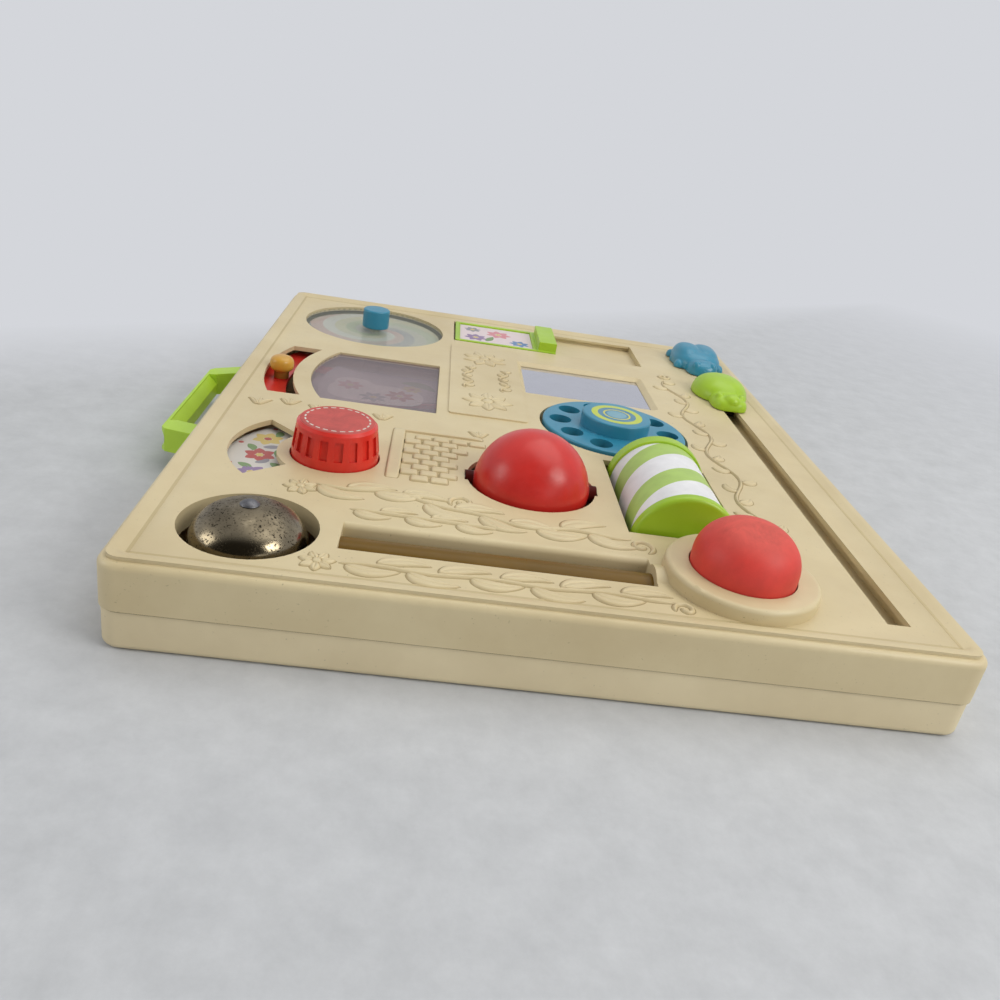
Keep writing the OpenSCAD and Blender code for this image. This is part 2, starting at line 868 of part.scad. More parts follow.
// Post of the back cover that closes an axle's channel
module axle_posts(span, top) {
    for (s = [-1, 1])
        translate([s * (span / 2 - axle_rib_t / 2), 0, 0])
            block(axle_rib_t, axle_rib_w, floor_top - lap, top - run_gap);
}

// Locating lip inside the seam
module seam_lip() {
    swept_border(case_w, case_l, corner_r) {
        translate([-wall - lip_gap - lip_t, seam_h - lip_h]) {
            square([lip_t, 2 * lip_h]);
            square([lip_t + lip_gap + lap, lip_h - lap]);
        }
    }
}

// Saddle under the end of the striker tube that rings the bell
module tube_saddle() {
    translate([tube_near_x + saddle_t / 2, bell_y, 0]) difference() {
        block(saddle_t, 2 * tube_r, floor_top - lap, tube_z);
        translate([0, 0, tube_z]) bar_x(tube_r + seat_gap, saddle_t + 2 * past);
    }
}

// Corner posts under the picture's backdrop
module backdrop_posts() {
    for (x = [picture_near + backdrop_post_in, backdrop_post_far], s = [-1, 1])
        translate([pivot_x - x, pivot_y + s * (picture_half_l - backdrop_post_in), floor_top - lap])
            cylinder(r = backdrop_post_r, h = backdrop_z - floor_top + lap);
}

module back_cover() {
    color(cover_color) difference() {
        union() {
            translate([0, 0, seam_h]) mirror([0, 0, 1])
                swept_border(case_w - 2 * cover_inset, case_l - 2 * cover_inset, corner_r - cover_inset)
                    wall_section(0, seam_h);
            linear_extrude(wall) case_outline(edge_r + cover_inset);
            seam_lip();
            for (at = screw_at)
                translate([at[0], at[1], floor_top - lap])
                    cylinder(r = screw_boss_r, h = seam_h - floor_top + lap);
            for (sx = [-1, 1], sy = [-1, 1])
                translate([sx * crib_span_x / 2, sy * crib_span_y / 2, floor_top - lap])
                    cylinder(r = crib_hole_r + boss_wall, h = crib_hole_depth + wall - floor_top + lap);
            translate([ball_x, ball_y, 0]) axle_posts(ball_axle_l, ball_z - axle_r);
            translate([drum_x, drum_y, 0]) rotate(90) axle_posts(drum_axle_l, drum_z - axle_r);
            translate([pivot_x, pivot_y, floor_top - lap])
                cylinder(r = pivot_boss_r, h = lever_z - rub_gap - floor_top + lap);
            translate([knob_x, knob_y, floor_top - lap])
                cylinder(r = spindle_r + boss_wall, h = spindle_boss_h + lap);
            translate([spinner_x, spinner_y, floor_top - lap])
                cylinder(r = shaft_r + boss_wall, h = spin_boss_h + lap);
            tube_saddle();
            backdrop_posts();
        }
        for (at = screw_at) translate([at[0], at[1], 0]) {
            translate([0, 0, -past]) cylinder(r = screw_head_r + screw_head_gap, h = screw_recess + past);
            cylinder(r = screw_r + run_gap, h = seam_h + past);
        }
        for (sx = [-1, 1], sy = [-1, 1])
            translate([sx * crib_span_x / 2, sy * crib_span_y / 2, -past])
                cylinder(r = crib_hole_r, h = crib_hole_depth + past);
        translate([pivot_x, pivot_y, lever_z - pivot_pin_below])
            cylinder(r = pivot_r + seat_gap, h = pivot_pin_below + past);
        translate([knob_x, knob_y, floor_top])
            cylinder(r = spindle_r + seat_gap, h = spindle_boss_h + past);
        translate([spinner_x, spinner_y, floor_top])
            cylinder(r = shaft_r + run_gap, h = spin_boss_h + past);
        tongue_cut();
        hook_cut();
    }
}

module case_screws() {
    color(steel) for (at = screw_at) translate([at[0], at[1], screw_recess]) {
        difference() {
            translate([0, 0, -screw_head_h]) cylinder(r = screw_head_r, h = screw_head_h);
            for (a = [0, 90])
                rotate(a) block(driver_w, driver_l, -screw_head_h - past, -screw_head_h + driver_depth);
        }
        translate([0, 0, -eps]) cylinder(r = screw_r, h = screw_l);
    }
}

// Outline of the handle: two legs that lean together, and the grip
module handle_outline() {
    x0 = -case_w / 2;
    x1 = x0 - handle_reach;
    lean = (handle_root_l - grip_l) / 2 * handle_edge / handle_reach;
    grip_in = grip_in_l / 2;
    root_in = handle_root_l / 2 - leg_w;
    difference() {
        polygon([
            [x0, -handle_root_l / 2], [x1 + handle_edge, -grip_l / 2 - lean],
            [x1, -grip_l / 2 + handle_edge], [x1, grip_l / 2 - handle_edge],
            [x1 + handle_edge, grip_l / 2 + lean], [x0, handle_root_l / 2]
        ]);
        polygon([
            [x0 + past, -root_in], [x1 + grip_t, -grip_in],
            [x1 + grip_t, grip_in], [x0 + past, root_in]
        ]);
    }
}

// Form that runs along Y, with a flat outline in x and z
module along_y(l) {
    rotate([90, 0, 0]) linear_extrude(l, center = true) children();
}

module carry_handle() {
    x0 = -case_w / 2;
    x1 = x0 - handle_reach;
    low = seam_h - handle_h / 2;
    high = seam_h + handle_h / 2;
    tip_high = high - handle_sag;
    color(green) {
        difference() {
            intersection() {
                linear_extrude(case_h) handle_outline();
                along_y(2 * handle_root_l)
                    polygon([[x0, low], [x0, high], [x1 - past, tip_high], [x1 - past, low - handle_sag]]);
            }
            translate([x1 - grip_groove_r + grip_groove_depth, 0, seam_h - handle_sag])
                bar_y(grip_groove_r, handle_root_l + 2 * past);
            along_y(grip_in_l - 2 * grip_slope_end)
                polygon([
                    [x1 + grip_ridge, tip_high + past], [x1 + grip_t + past, tip_high + past],
                    [x1 + grip_t + past, tip_high - grip_slope], [x1 + grip_ridge, tip_high - lap]
                ]);
        }
        for (s = [-1, 1]) translate([-case_w / 2, s * tongue_y, seam_h]) {
            translate([(wall + hook_t - lap) / 2, 0, 0])
                block(wall + hook_t + lap, tongue_w, -tongue_h / 2, tongue_h / 2);
            translate([wall + part_gap + hook_t / 2, 0, 0])
                block(hook_t, tongue_w + 2 * hook_extra, -tongue_h / 2 - hook_extra, tongue_h / 2);
        }
    }
}

module bell_dome() {
    outer = quarter_ellipse(bell_r, bell_dome_h, bell_spring);
    inner = quarter_ellipse(bell_r - bell_t, bell_dome_h - bell_t, bell_spring);
    color(steel) translate([bell_x, bell_y, 0]) difference() {
        rotate_extrude() polygon([[0, bell_rim], [bell_r, bell_rim], each outer]);
        rotate_extrude() polygon([[0, bell_rim - past], [bell_r - bell_t, bell_rim - past], each inner]);
        translate([0, 0, bell_spring]) cylinder(r = rivet_r + seat_gap, h = bell_dome_h + past);
    }
}

module bell_post() {
    color(shell_color) translate([bell_x, bell_y, 0]) difference() {
        translate([0, 0, floor_top])
            cylinder(r = bell_post_r, h = bell_top - bell_t - post_drop - floor_top);
        translate([0, 0, bell_top - bell_t - rivet_l]) cylinder(r = rivet_r + seat_gap, h = rivet_l);
    }
}

module bell_rivet() {
    cap_r = (rivet_head_r * rivet_head_r + rivet_head_h * rivet_head_h) / (2 * rivet_head_h);
    color(steel) translate([bell_x, bell_y, 0]) {
        translate([0, 0, bell_top - bell_t - rivet_l + rivet_room])
            cylinder(r = rivet_r, h = rivet_l + bell_t - rivet_room + eps);
        translate([0, 0, bell_top]) intersection() {
            translate([0, 0, rivet_head_h - cap_r]) sphere(cap_r);
            cylinder(r = rivet_head_r, h = rivet_head_h + past);
        }
    }
}

// Trough under the panel that the striker tube lies in
module tube_trough() {
    bottom = tube_z - tube_r - tube_floor_gap - tube_wall;
    color(shell_color) difference() {
        translate([(tube_window_x0 + tube_window_x1) / 2, bell_y, 0])
            block(tube_window_l + 2 * tube_wall, tube_window_w + 2 * tube_wall, bottom, panel_under);
        tube_channel_cut();
    }
}

module striker_tube() {
    l = tube_far_x - tube_near_x;
    color("#8a6a3c", 0.7) translate([(tube_near_x + tube_far_x) / 2, bell_y, tube_z]) difference() {
        bar_x(tube_r, l);
        bar_x(tube_bore_r, l + 2 * past);
    }
}

module tube_end_cap() {
    color(dark) translate([tube_near_x + end_cap_t / 2, bell_y, tube_z]) difference() {
        bar_x(tube_bore_r - seat_gap, end_cap_t);
        bar_x(hammer_r + hammer_hole_gap, end_cap_t + 2 * past);
    }
}

module striker_body() {
    x = hammer_tip_x + hammer_reach + striker_l / 2;
    color(red) translate([x, bell_y, tube_z]) difference() {
        bar_x(tube_bore_r - run_gap, striker_l);
        for (s = [-1, 1])
            translate([s * striker_l / 4, 0, 0]) difference() {
                bar_x(tube_r, striker_groove_w);
                bar_x(tube_bore_r - striker_groove, striker_groove_w + 2 * past);
            }
        bar_x(hammer_r + seat_gap, striker_l + 2 * past);
    }
}

module hammer_rod() {
    l = hammer_reach + striker_l;
    color(steel) translate([hammer_tip_x, bell_y, tube_z]) {
        translate([l / 2 + hammer_r / 2, 0, 0]) bar_x(hammer_r, l - hammer_r);
        translate([hammer_r, 0, 0]) sphere(hammer_r);
    }
}

module squeeze_bulb() {
    side_top = bulb_top - bulb_cap_h;
    outer = quarter_ellipse(bulb_r, bulb_cap_h, side_top);
    inner = quarter_ellipse(bulb_r - bulb_t, bulb_cap_h - bulb_t, side_top);
    flange_top = panel_under - rub_gap;
    bottom = flange_top - bulb_flange_h;
    color("#dc4a44") translate([bulb_x, bulb_y, 0]) difference() {
        rotate_extrude() polygon([
            [0, bottom], [bulb_r + bulb_flange, bottom],
            [bulb_r + bulb_flange, flange_top], [bulb_r, flange_top], each outer
        ]);
        rotate_extrude() polygon([[0, bottom - past], [bulb_r - bulb_t, bottom - past], each inner]);
    }
}

module bulb_seat() {
    stop_top = panel_under - bulb_flange_h - bulb_travel - 2 * rub_gap;
    color("#c8bda6") difference() {
        translate([bulb_x, bulb_y, 0]) difference() {
            translate([0, 0, floor_top]) cylinder(r = seat_out_r, h = panel_under - floor_top);
            translate([0, 0, stop_top]) cylinder(r = seat_in_r, h = panel_under);
            translate([0, 0, floor_top + seat_floor_t])
                cylinder(r = seat_in_r - seat_stop_w, h = panel_under);
            cylinder(r = reed_r + seat_gap, h = panel_under);
        }
        translate([tube_far_x, bell_y, tube_z]) {
            bar_x(tube_r + seat_gap, 2 * seat_wall + past);
            bar_x(tube_bore_r, 2 * (seat_wall + seat_stop_w) + past);
        }
    }
}

module squeak_reed() {
    color("#e8e4da") translate([bulb_x, bulb_y, floor_top]) difference() {
        union() {
            cylinder(r = reed_r, h = reed_h);
            translate([0, 0, seat_floor_t]) cylinder(r = reed_r + reed_flange, h = reed_flange_h);
        }
        translate([0, 0, reed_floor]) cylinder(r = reed_r - reed_wall, h = reed_h);
        block(reed_slot_w, 2 * (reed_r - reed_wall - past), -past, reed_floor + past);
    }
}

module picture_knob() {
    flange_top = panel_under - rub_gap;
    bottom = flange_top - knob_flange_h;
    taper_z = panel_top + knob_band;
    taper_top = knob_top - knob_chamfer;
    taper_a = atan((knob_r - knob_top_r) / (taper_top - taper_z));
    flute_l = taper_top - taper_z - flute_margin - flute_top_margin;
    roof = knob_top - 2 * knob_skin;
    color(red) translate([knob_x, knob_y, 0]) difference() {
        rotate_extrude() polygon([
            [0, stem_end], [stem_r, stem_end], [stem_r, bottom], [knob_flange_r, bottom],
            [knob_flange_r, flange_top], [knob_r, flange_top], [knob_r, taper_z],
            [knob_top_r, taper_top], [knob_top_r - knob_chamfer, knob_top], [0, knob_top]
        ]);
        rotate_extrude() polygon([
            [stem_r, bottom - past], [knob_r - knob_skin, bottom - past],
            [knob_top_r - knob_skin, roof], [stem_r, roof]
        ]);
        for (i = [0:flute_n - 1])
            rotate(360 * i / flute_n) translate([knob_r, 0, taper_z]) rotate([0, -taper_a, 0])
                translate([-flute_depth, -flute_w / 2, flute_margin])
                    cube([flute_depth + past, flute_w, flute_l]);
        translate([0, 0, stem_end - past]) cylinder(r = spindle_r + run_gap, h = roof - stem_end);
    }
}

module picture_disc() {
    color("#d8d4cc") translate([knob_x, knob_y, disc_z]) difference() {
        cylinder(r = disc_r, h = disc_t);
        translate([0, 0, -past]) cylinder(r = stem_r + seat_gap, h = disc_t + 2 * past);
    }
}

module knob_clip() {
    color("#e8e4da") translate([knob_x, knob_y, disc_z - clip_t]) difference() {
        cylinder(r = stem_r + clip_extra, h = clip_t);
        translate([0, 0, -past]) cylinder(r = stem_r + seat_gap, h = clip_t + 2 * past);
    }
}

module knob_spindle() {
    color(steel) translate([knob_x, knob_y, floor_top])
        cylinder(r = spindle_r, h = panel_under - floor_top);
}

module lever_arm() {
    color(red) translate([pivot_x, pivot_y, lever_z]) difference() {
        union() {
            cylinder(r = lever_hub_r, h = lever_t + lever_hub_rise);
            linear_extrude(lever_t) {
                ring_sector(lever_plate_in, lever_plate_out, 180 - lever_half_a, 180 + lever_half_a);
                for (a = [-1, 1])
                    rotate(180 + a * spoke_a)
                        translate([lever_hub_r - spoke_lap, -spoke_w / 2])
                            square([lever_plate_in - lever_hub_r + 2 * spoke_lap, spoke_w]);
            }
            translate([-lever_knob_at, 0, 0])
                cylinder(r = lever_neck_r, h = lever_knob_z - lever_z + lever_knob_h * socket_part);
        }
        translate([0, 0, -past]) cylinder(r = pivot_r + run_gap, h = lever_t + lever_hub_rise + 2 * past);
    }
}

module lever_knob() {
    half = lever_knob_h / 2;
    power = 2 / knob_squareness;
    angles = [for (i = [0:knob_steps]) 180 * i / knob_steps - 90];
    barrel = [
        for (a = angles)
            [lever_knob_r * pow(cos(a), power), half + half * sign(a) * pow(abs(sin(a)), power)]
    ];
    color("#d8a53c") translate([pivot_x - lever_knob_at, pivot_y, lever_knob_z]) difference() {
        rotate_extrude() polygon(barrel);
        translate([0, 0, -past])
            cylinder(r = lever_neck_r + seat_gap, h = past + lever_knob_h * socket_part);
    }
}

module lever_card() {
    color("#cdb8c8") translate([pivot_x, pivot_y, lever_z + lever_t]) linear_extrude(sheet_t)
        ring_sector(card_in_r, card_out_r, 180 - card_half_a, 180 + card_half_a);
}

module lever_pivot() {
    color(steel) translate([pivot_x, pivot_y, lever_z - pivot_pin_below])
        cylinder(r = pivot_r, h = panel_under - lever_z + pivot_pin_below);
}

// Clear plate that fills an opening from behind
module window_plate(x, y) {
    color(clear) translate([x, y, 0]) {
        translate([0, 0, panel_under - window_t]) linear_extrude(window_t) children(0);
        translate([0, 0, panel_under - eps])
            linear_extrude(panel_top - window_drop - panel_under + eps) children(1);
    }
}

module picture_window() {
    window_plate(pivot_x, pivot_y) {
        picture_outline(window_flange);
        picture_outline(-seat_gap);
    }
}

module picture_backdrop() {
    color("#b8a8b4") translate([pivot_x, pivot_y, backdrop_z])
        linear_extrude(sheet_t) picture_outline(backdrop_margin);
}

module spinner_window() {
    difference() {
        window_plate(spinner_x, spinner_y) {
            circle(spinner_r + window_flange);
            circle(spinner_r - seat_gap);
        }
        translate([spinner_x, spinner_y, 0]) cylinder(r = shaft_r + run_gap, h = case_h);
    }
}

module spinner_knob() {
    edge_at = [spin_knob_r - spin_knob_edge, spin_knob_h - spin_knob_edge];
    color(blue) translate([spinner_x, spinner_y, spin_knob_z]) difference() {
        rotate_extrude() {
            square([edge_at[0], spin_knob_h]);
            square([spin_knob_r, edge_at[1]]);
            translate(edge_at) circle(spin_knob_edge);
        }
        translate([0, 0, -past]) cylinder(r = shaft_r + seat_gap, h = past + spin_knob_h * socket_part);
    }
}

module spinner_shaft() {
    color("#e8e4da") translate([spinner_x, spinner_y, 0]) {
        translate([0, 0, floor_top + rub_gap])
            cylinder(r = shaft_r, h = spin_knob_z + spin_knob_h * socket_part - floor_top - rub_gap);
        translate([0, 0, spin_disc_z - spin_collar_t])
            cylinder(r = shaft_r + spin_collar_w, h = spin_collar_t);
    }
}

module spinner_disc() {
    color("#d8d8c8") translate([spinner_x, spinner_y, spin_disc_z]) difference() {
        cylinder(r = spin_disc_r, h = disc_t);
        translate([0, 0, -past]) cylinder(r = shaft_r + seat_gap, h = disc_t + 2 * past);
    }
}

// Cup under the panel that the dial turns in
module dial_cup() {
    bottom = dial_floor - dial_floor_t;
    color(shell_color) translate([dial_x, dial_y, 0]) difference() {
        translate([0, 0, bottom]) cylinder(r = dial_well_r + dial_cup_t, h = panel_under - bottom);
        translate([0, 0, dial_floor]) cylinder(r = dial_well_r, h = dial_well);
        translate([0, 0, bottom - past])
            cylinder(r = dial_spindle_r + run_gap, h = dial_floor_t + 2 * past);
    }
}

module dial_plate() {
    color(blue) translate([dial_x, dial_y, 0]) difference() {
        rotate_extrude() {
            translate([0, dial_top - dial_t]) square([dial_r - dial_hub_edge, dial_t]);
            translate([0, dial_top - dial_t]) square([dial_r, dial_t - dial_hub_edge]);
            translate([dial_r - dial_hub_edge, dial_top - dial_hub_edge]) circle(dial_hub_edge);
            translate([0, dial_top - dial_t]) square([hub_r, dial_t + hub_h - dial_hub_edge]);
            translate([0, dial_top - dial_t]) square([hub_r - dial_hub_edge, dial_t + hub_h]);
            translate([hub_r - dial_hub_edge, dial_hub_top - dial_hub_edge]) circle(dial_hub_edge);
        }
        for (i = [0:finger_n - 1])
            rotate(finger_start + 360 * i / finger_n)
                translate([finger_pitch_r, 0, dial_top - dial_t - past])
                    cylinder(r = finger_r, h = dial_t + 2 * past);
        translate([0, 0, dial_top - dial_t - past])
            cylinder(r = dial_spindle_r + seat_gap, h = past + dial_t + hub_h - dial_skin);
    }
}

module dial_spindle() {
    bottom = dial_floor - dial_floor_t - ratchet_t - clip_t - spindle_tail;
    color("#e8e4da") translate([dial_x, dial_y, 0]) {
        translate([0, 0, bottom]) cylinder(r = dial_spindle_r, h = dial_hub_top - dial_skin - bottom);
        translate([0, 0, dial_floor + rub_gap])
            cylinder(r = dial_rest_r, h = dial_top - dial_t - dial_floor - rub_gap);
    }
}

module dial_ratchet() {
    z = dial_floor - dial_floor_t - rub_gap - ratchet_t;
    teeth = [
        for (i = [0:finger_n - 1], edge = [0, 1])
            let (a = 360 * (i + edge * tooth_back) / finger_n)
                (ratchet_r - edge * ratchet_tooth) * [cos(a), sin(a)]
    ];
    color("#e8e4da") translate([dial_x, dial_y, z]) difference() {
        linear_extrude(ratchet_t) polygon(teeth);
        translate([0, 0, -past]) cylinder(r = dial_spindle_r + seat_gap, h = ratchet_t + 2 * past);
    }
}

module dial_clip() {
    z = dial_floor - dial_floor_t - rub_gap - ratchet_t - clip_t;
    color(steel) translate([dial_x, dial_y, z]) difference() {
        cylinder(r = dial_spindle_r + clip_extra, h = clip_t);
        translate([0, 0, -past]) cylinder(r = dial_spindle_r + seat_gap, h = clip_t + 2 * past);
    }
}

module click_spring() {
    z = dial_floor - dial_floor_t;
    color(steel) translate([dial_x + ratchet_r + rub_gap, dial_y, 0]) {
        translate([0, 0, z - rub_gap - ratchet_t]) cube([spring_t, spring_l, ratchet_t + rub_gap]);
        translate([0, spring_l - spring_foot, z - rub_gap - ratchet_t])
            cube([spring_w, spring_foot, ratchet_t + rub_gap]);
    }
}

module roller_ball() {
    in_r = ball_r - ball_skin;
    color(red) translate([ball_x, ball_y, ball_z]) rotate([0, 90, 0]) difference() {
        union() {
            difference() {
                sphere(ball_r);
                sphere(in_r);
            }
            cylinder(r = ball_tube_r, h = ball_tube_l, center = true);
        }
        cylinder(r = axle_r + run_gap, h = ball_tube_l + 2 * past, center = true);
    }
}

module ball_axle() {
    color(steel) translate([ball_x, ball_y, ball_z]) bar_x(axle_r, ball_axle_l);
}

module drum_barrel() {
    l = drum_l - cap_t - far_cap_t;
    color("#e4e4dc") translate([drum_x, drum_y + (cap_t - far_cap_t) / 2, drum_z]) difference() {
        bar_y(sleeve_r - sleeve_t, l);
        bar_y(sleeve_r - sleeve_t - barrel_t, l + 2 * past);
    }
}

module drum_sleeve() {
    l = drum_l - cap_t - far_cap_t;
    color("#eef2e4") translate([drum_x, drum_y + (cap_t - far_cap_t) / 2, drum_z]) difference() {
        bar_y(sleeve_r, l);
        bar_y(sleeve_r - sleeve_t + seat_gap, l + 2 * past);
    }
}

// End cap of the drum: a dished disc with a round edge, a plug and a bearing for the axle
module drum_cap(t) {
    plug_r = sleeve_r - sleeve_t - barrel_t - seat_gap;
    color(green) rotate([90, 0, 0]) difference() {
        rotate_extrude() {
            square([drum_r, t - cap_edge]);
            square([drum_r - cap_edge, t]);
            translate([drum_r - cap_edge, t - cap_edge]) circle(cap_edge);
            translate([0, -cap_plug_l]) square([plug_r, cap_plug_l + lap]);
        }
        rotate_extrude()
            translate([axle_r + cap_skin + run_gap, -cap_plug_l - past])
                square([plug_r - 2 * cap_skin - axle_r - run_gap, cap_plug_l + t - cap_skin + past]);
        translate([0, 0, -cap_plug_l - past])
            cylinder(r = axle_r + run_gap, h = cap_plug_l + t + 2 * past);
    }
}

module drum_near_cap() {
    translate([drum_x, drum_y0 + cap_t, drum_z]) drum_cap(cap_t);
}

module drum_far_cap() {
    translate([drum_x, drum_y1 - far_cap_t, drum_z]) rotate(180) drum_cap(far_cap_t);
}

module drum_axle() {
    color(steel) translate([drum_x, drum_y, drum_z]) bar_y(axle_r, drum_axle_l);
}

module mirror_plate() {
    color("#b8b8c8") translate([mirror_x, mirror_y, panel_under - mirror_t])
        linear_extrude(mirror_t)
            square([mirror_w + 2 * mirror_margin, mirror_l + 2 * mirror_margin], center = true);
}

module mirror_backing() {
    w = mirror_w + 2 * mirror_margin;
    color("#e8e4da") difference() {
        translate([mirror_x, mirror_y, panel_under - mirror_t - backing_t]) linear_extrude(backing_t) {
            square([w, mirror_l + 2 * mirror_margin], center = true);
            square([w + 2 * stake_ear, mirror_l / 2 + stake_ear], center = true);
        }
        at_stakes() cylinder(r = stake_r + seat_gap, h = case_h);
    }
}

// Tray under the panel that the door slides in
module door_tray() {
    w = door_w + 2 * (door_gap + door_lip_w + door_well_t);
    color(shell_color) difference() {
        translate([door_x - door_well_t, door_y - w / 2, door_floor - door_floor_t])
            cube([door_recess_l + 2 * door_well_t, w, panel_under - door_floor + door_floor_t]);
        door_well_cut();
    }
}

module door_panel() {
    x0 = door_x + door_end_gap;
    y0 = door_y - door_w / 2;
    color(green) difference() {
        union() {
            translate([x0, y0 - door_lip_w, door_plate_z])
                cube([door_l, door_w + 2 * door_lip_w, door_plate_t]);
            translate([x0, y0, door_plate_z]) cube([door_l, door_w, door_frame_top - door_plate_z]);
            translate([x0 + door_l - tab_w, y0 + tab_near, door_plate_z])
                cube([tab_w, door_w - tab_near - tab_far, panel_top + tab_rise - door_plate_z]);
        }
        translate([x0 + label_edge, y0 + label_edge, door_frame_top - label_depth])
            cube([door_l - tab_w - 2 * label_edge, door_w - 2 * label_edge, label_depth + past]);
    }
}

module door_label() {
    inset = label_edge + label_fit;
    x0 = door_x + door_end_gap + inset;
    y0 = door_y - door_w / 2 + inset;
    color("#e0d8dc") translate([x0, y0, door_frame_top - label_depth])
        cube([door_l - tab_w - 2 * inset, door_w - 2 * inset, label_t]);
}

module door_picture() {
    color("#d8d0dc") translate([door_x + door_end_gap, door_y - door_w / 2, door_floor])
        cube([door_l - 2 * door_end_gap, door_w, door_picture_t]);
}

module track_guide() {
    l = track_far - track_near;
    w = shoe_w + 2 * guide_gap;
    color(shell_color) translate([track_x, (track_near + track_far) / 2, 0]) difference() {
        block(w + 2 * guide_t, l + 2 * guide_t, shoe_z - rub_gap - guide_t, panel_under);
        block(w, l, shoe_z - rub_gap, panel_under + past);
    }
}

// Rounded blob with three half sizes
module blob(at, half) {
    translate(at) scale(half) sphere(1, $fn = 28);
}

// Keeps what lies above a slider figure's flat underside
module above_panel() {
    intersection() {
        children();
        block(2 * beetle_w, 4 * beetle_wing[1], 0, 2 * figure_rise);
    }
}

// Neck, shoe and screw are alike on both sliders
module slider_shoe(y) {
    color(dark) translate([track_x, y, 0]) difference() {
        union() {
            block(shoe_w, shoe_l, shoe_z, shoe_z + shoe_t);
            block(neck_w, neck_l, shoe_z + shoe_t - lap, figure_z);
        }
        translate([0, 0, shoe_z - past]) {
            cylinder(r = slider_screw_r + seat_gap, h = figure_z - shoe_z + 2 * past);
            cylinder(r = slider_head_r + part_gap, h = slider_head_h + past);
        }
    }
}

module slider_screw(y) {
    color(steel) translate([track_x, y, shoe_z]) {
        cylinder(r = slider_head_r, h = slider_head_h);
        cylinder(r = slider_screw_r, h = slider_screw_l + slider_head_h);
    }
}

// Hole in a figure for its screw
module figure_screw_cut() {
    depth = slider_screw_l + slider_head_h + shoe_z - figure_z + lap;
    translate([0, 0, -past]) cylinder(r = slider_screw_r + seat_gap, h = depth + past);
}

// Head of the turtle: a wedge that narrows and falls towards its snout
module turtle_head() {
    intersection() {
        linear_extrude(turtle_neck_h) polygon([
            [-turtle_neck_w / 2, turtle_neck_y], [-turtle_neck_w / 2, turtle_brow_y],
            [-turtle_snout_w / 2, turtle_snout_y], [turtle_snout_w / 2, turtle_snout_y],
            [turtle_neck_w / 2, turtle_brow_y], [turtle_neck_w / 2, turtle_neck_y]
        ]);
        rotate([90, 0, 90]) linear_extrude(turtle_neck_w, center = true) polygon([
            [turtle_neck_y, 0], [turtle_neck_y, turtle_neck_h], [turtle_brow_y, turtle_neck_h],
            [turtle_snout_y, turtle_snout_h], [turtle_snout_y, 0]
        ]);
    }
}

module turtle_figure() {
    color(green) translate([track_x, turtle_y, figure_z]) difference() {
        union() {
            above_panel() blob(
                [0, turtle_shell_y, figure_lift],
                [turtle_w / 2, turtle_shell_l / 2, figure_rise - figure_lift]
            );
            turtle_head();
            blob([0, turtle_snout_y + turtle_nose[1], turtle_snout_h], turtle_nose);
        }
        figure_screw_cut();
    }
}

module beetle_figure() {
    color(blue) translate([track_x, beetle_y, figure_z]) difference() {
        above_panel() {
            for (s = [-1, 1])
                blob([s * beetle_wing_x, beetle_wing_y, figure_lift], beetle_wing);
            blob([0, beetle_head_y, 2 * figure_lift], beetle_head);
            for (s = [-1, 1], y = beetle_foot_y)
                blob([s * beetle_foot_x, y, figure_lift], beetle_foot);
        }
        figure_screw_cut();
    }
}

module turtle_shoe() {
    slider_shoe(turtle_y);
}

module turtle_screw() {
    slider_screw(turtle_y);
}

module beetle_shoe() {
    slider_shoe(beetle_y);
}

module beetle_screw() {
    slider_screw(beetle_y);
}

front_shell();
back_cover();
case_screws();
carry_handle();
bell_dome();
bell_post();
bell_rivet();
tube_trough();
striker_tube();
tube_end_cap();
striker_body();
hammer_rod();
squeeze_bulb();
bulb_seat();
squeak_reed();
picture_knob();
picture_disc();
knob_clip();
knob_spindle();
lever_arm();
lever_knob();
lever_card();
lever_pivot();
picture_window();
picture_backdrop();
spinner_window();
spinner_knob();
spinner_shaft();
spinner_disc();
dial_cup();
dial_plate();
dial_spindle();
dial_ratchet();
dial_clip();
click_spring();
roller_ball();
ball_axle();
drum_barrel();
drum_sleeve();
drum_near_cap();
drum_far_cap();
drum_axle();
mirror_plate();
mirror_backing();
door_tray();
door_panel();
door_label();
door_picture();
track_guide();
turtle_figure();
turtle_shoe();
turtle_screw();
beetle_figure();
beetle_shoe();
beetle_screw();
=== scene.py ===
"""Looks of a crib activity centre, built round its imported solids.

Sizes in this script are millimetres in the part's frame: the back lies on z = 0, the near edge is at -Y and the
carrying handle is at -X. A finished mesh is in metres, because that is the unit of the frame.
"""

from __future__ import annotations

import json
import logging
import math
from abc import ABC, abstractmethod
from dataclasses import dataclass, field
from enum import Enum
from typing import Any, Sequence

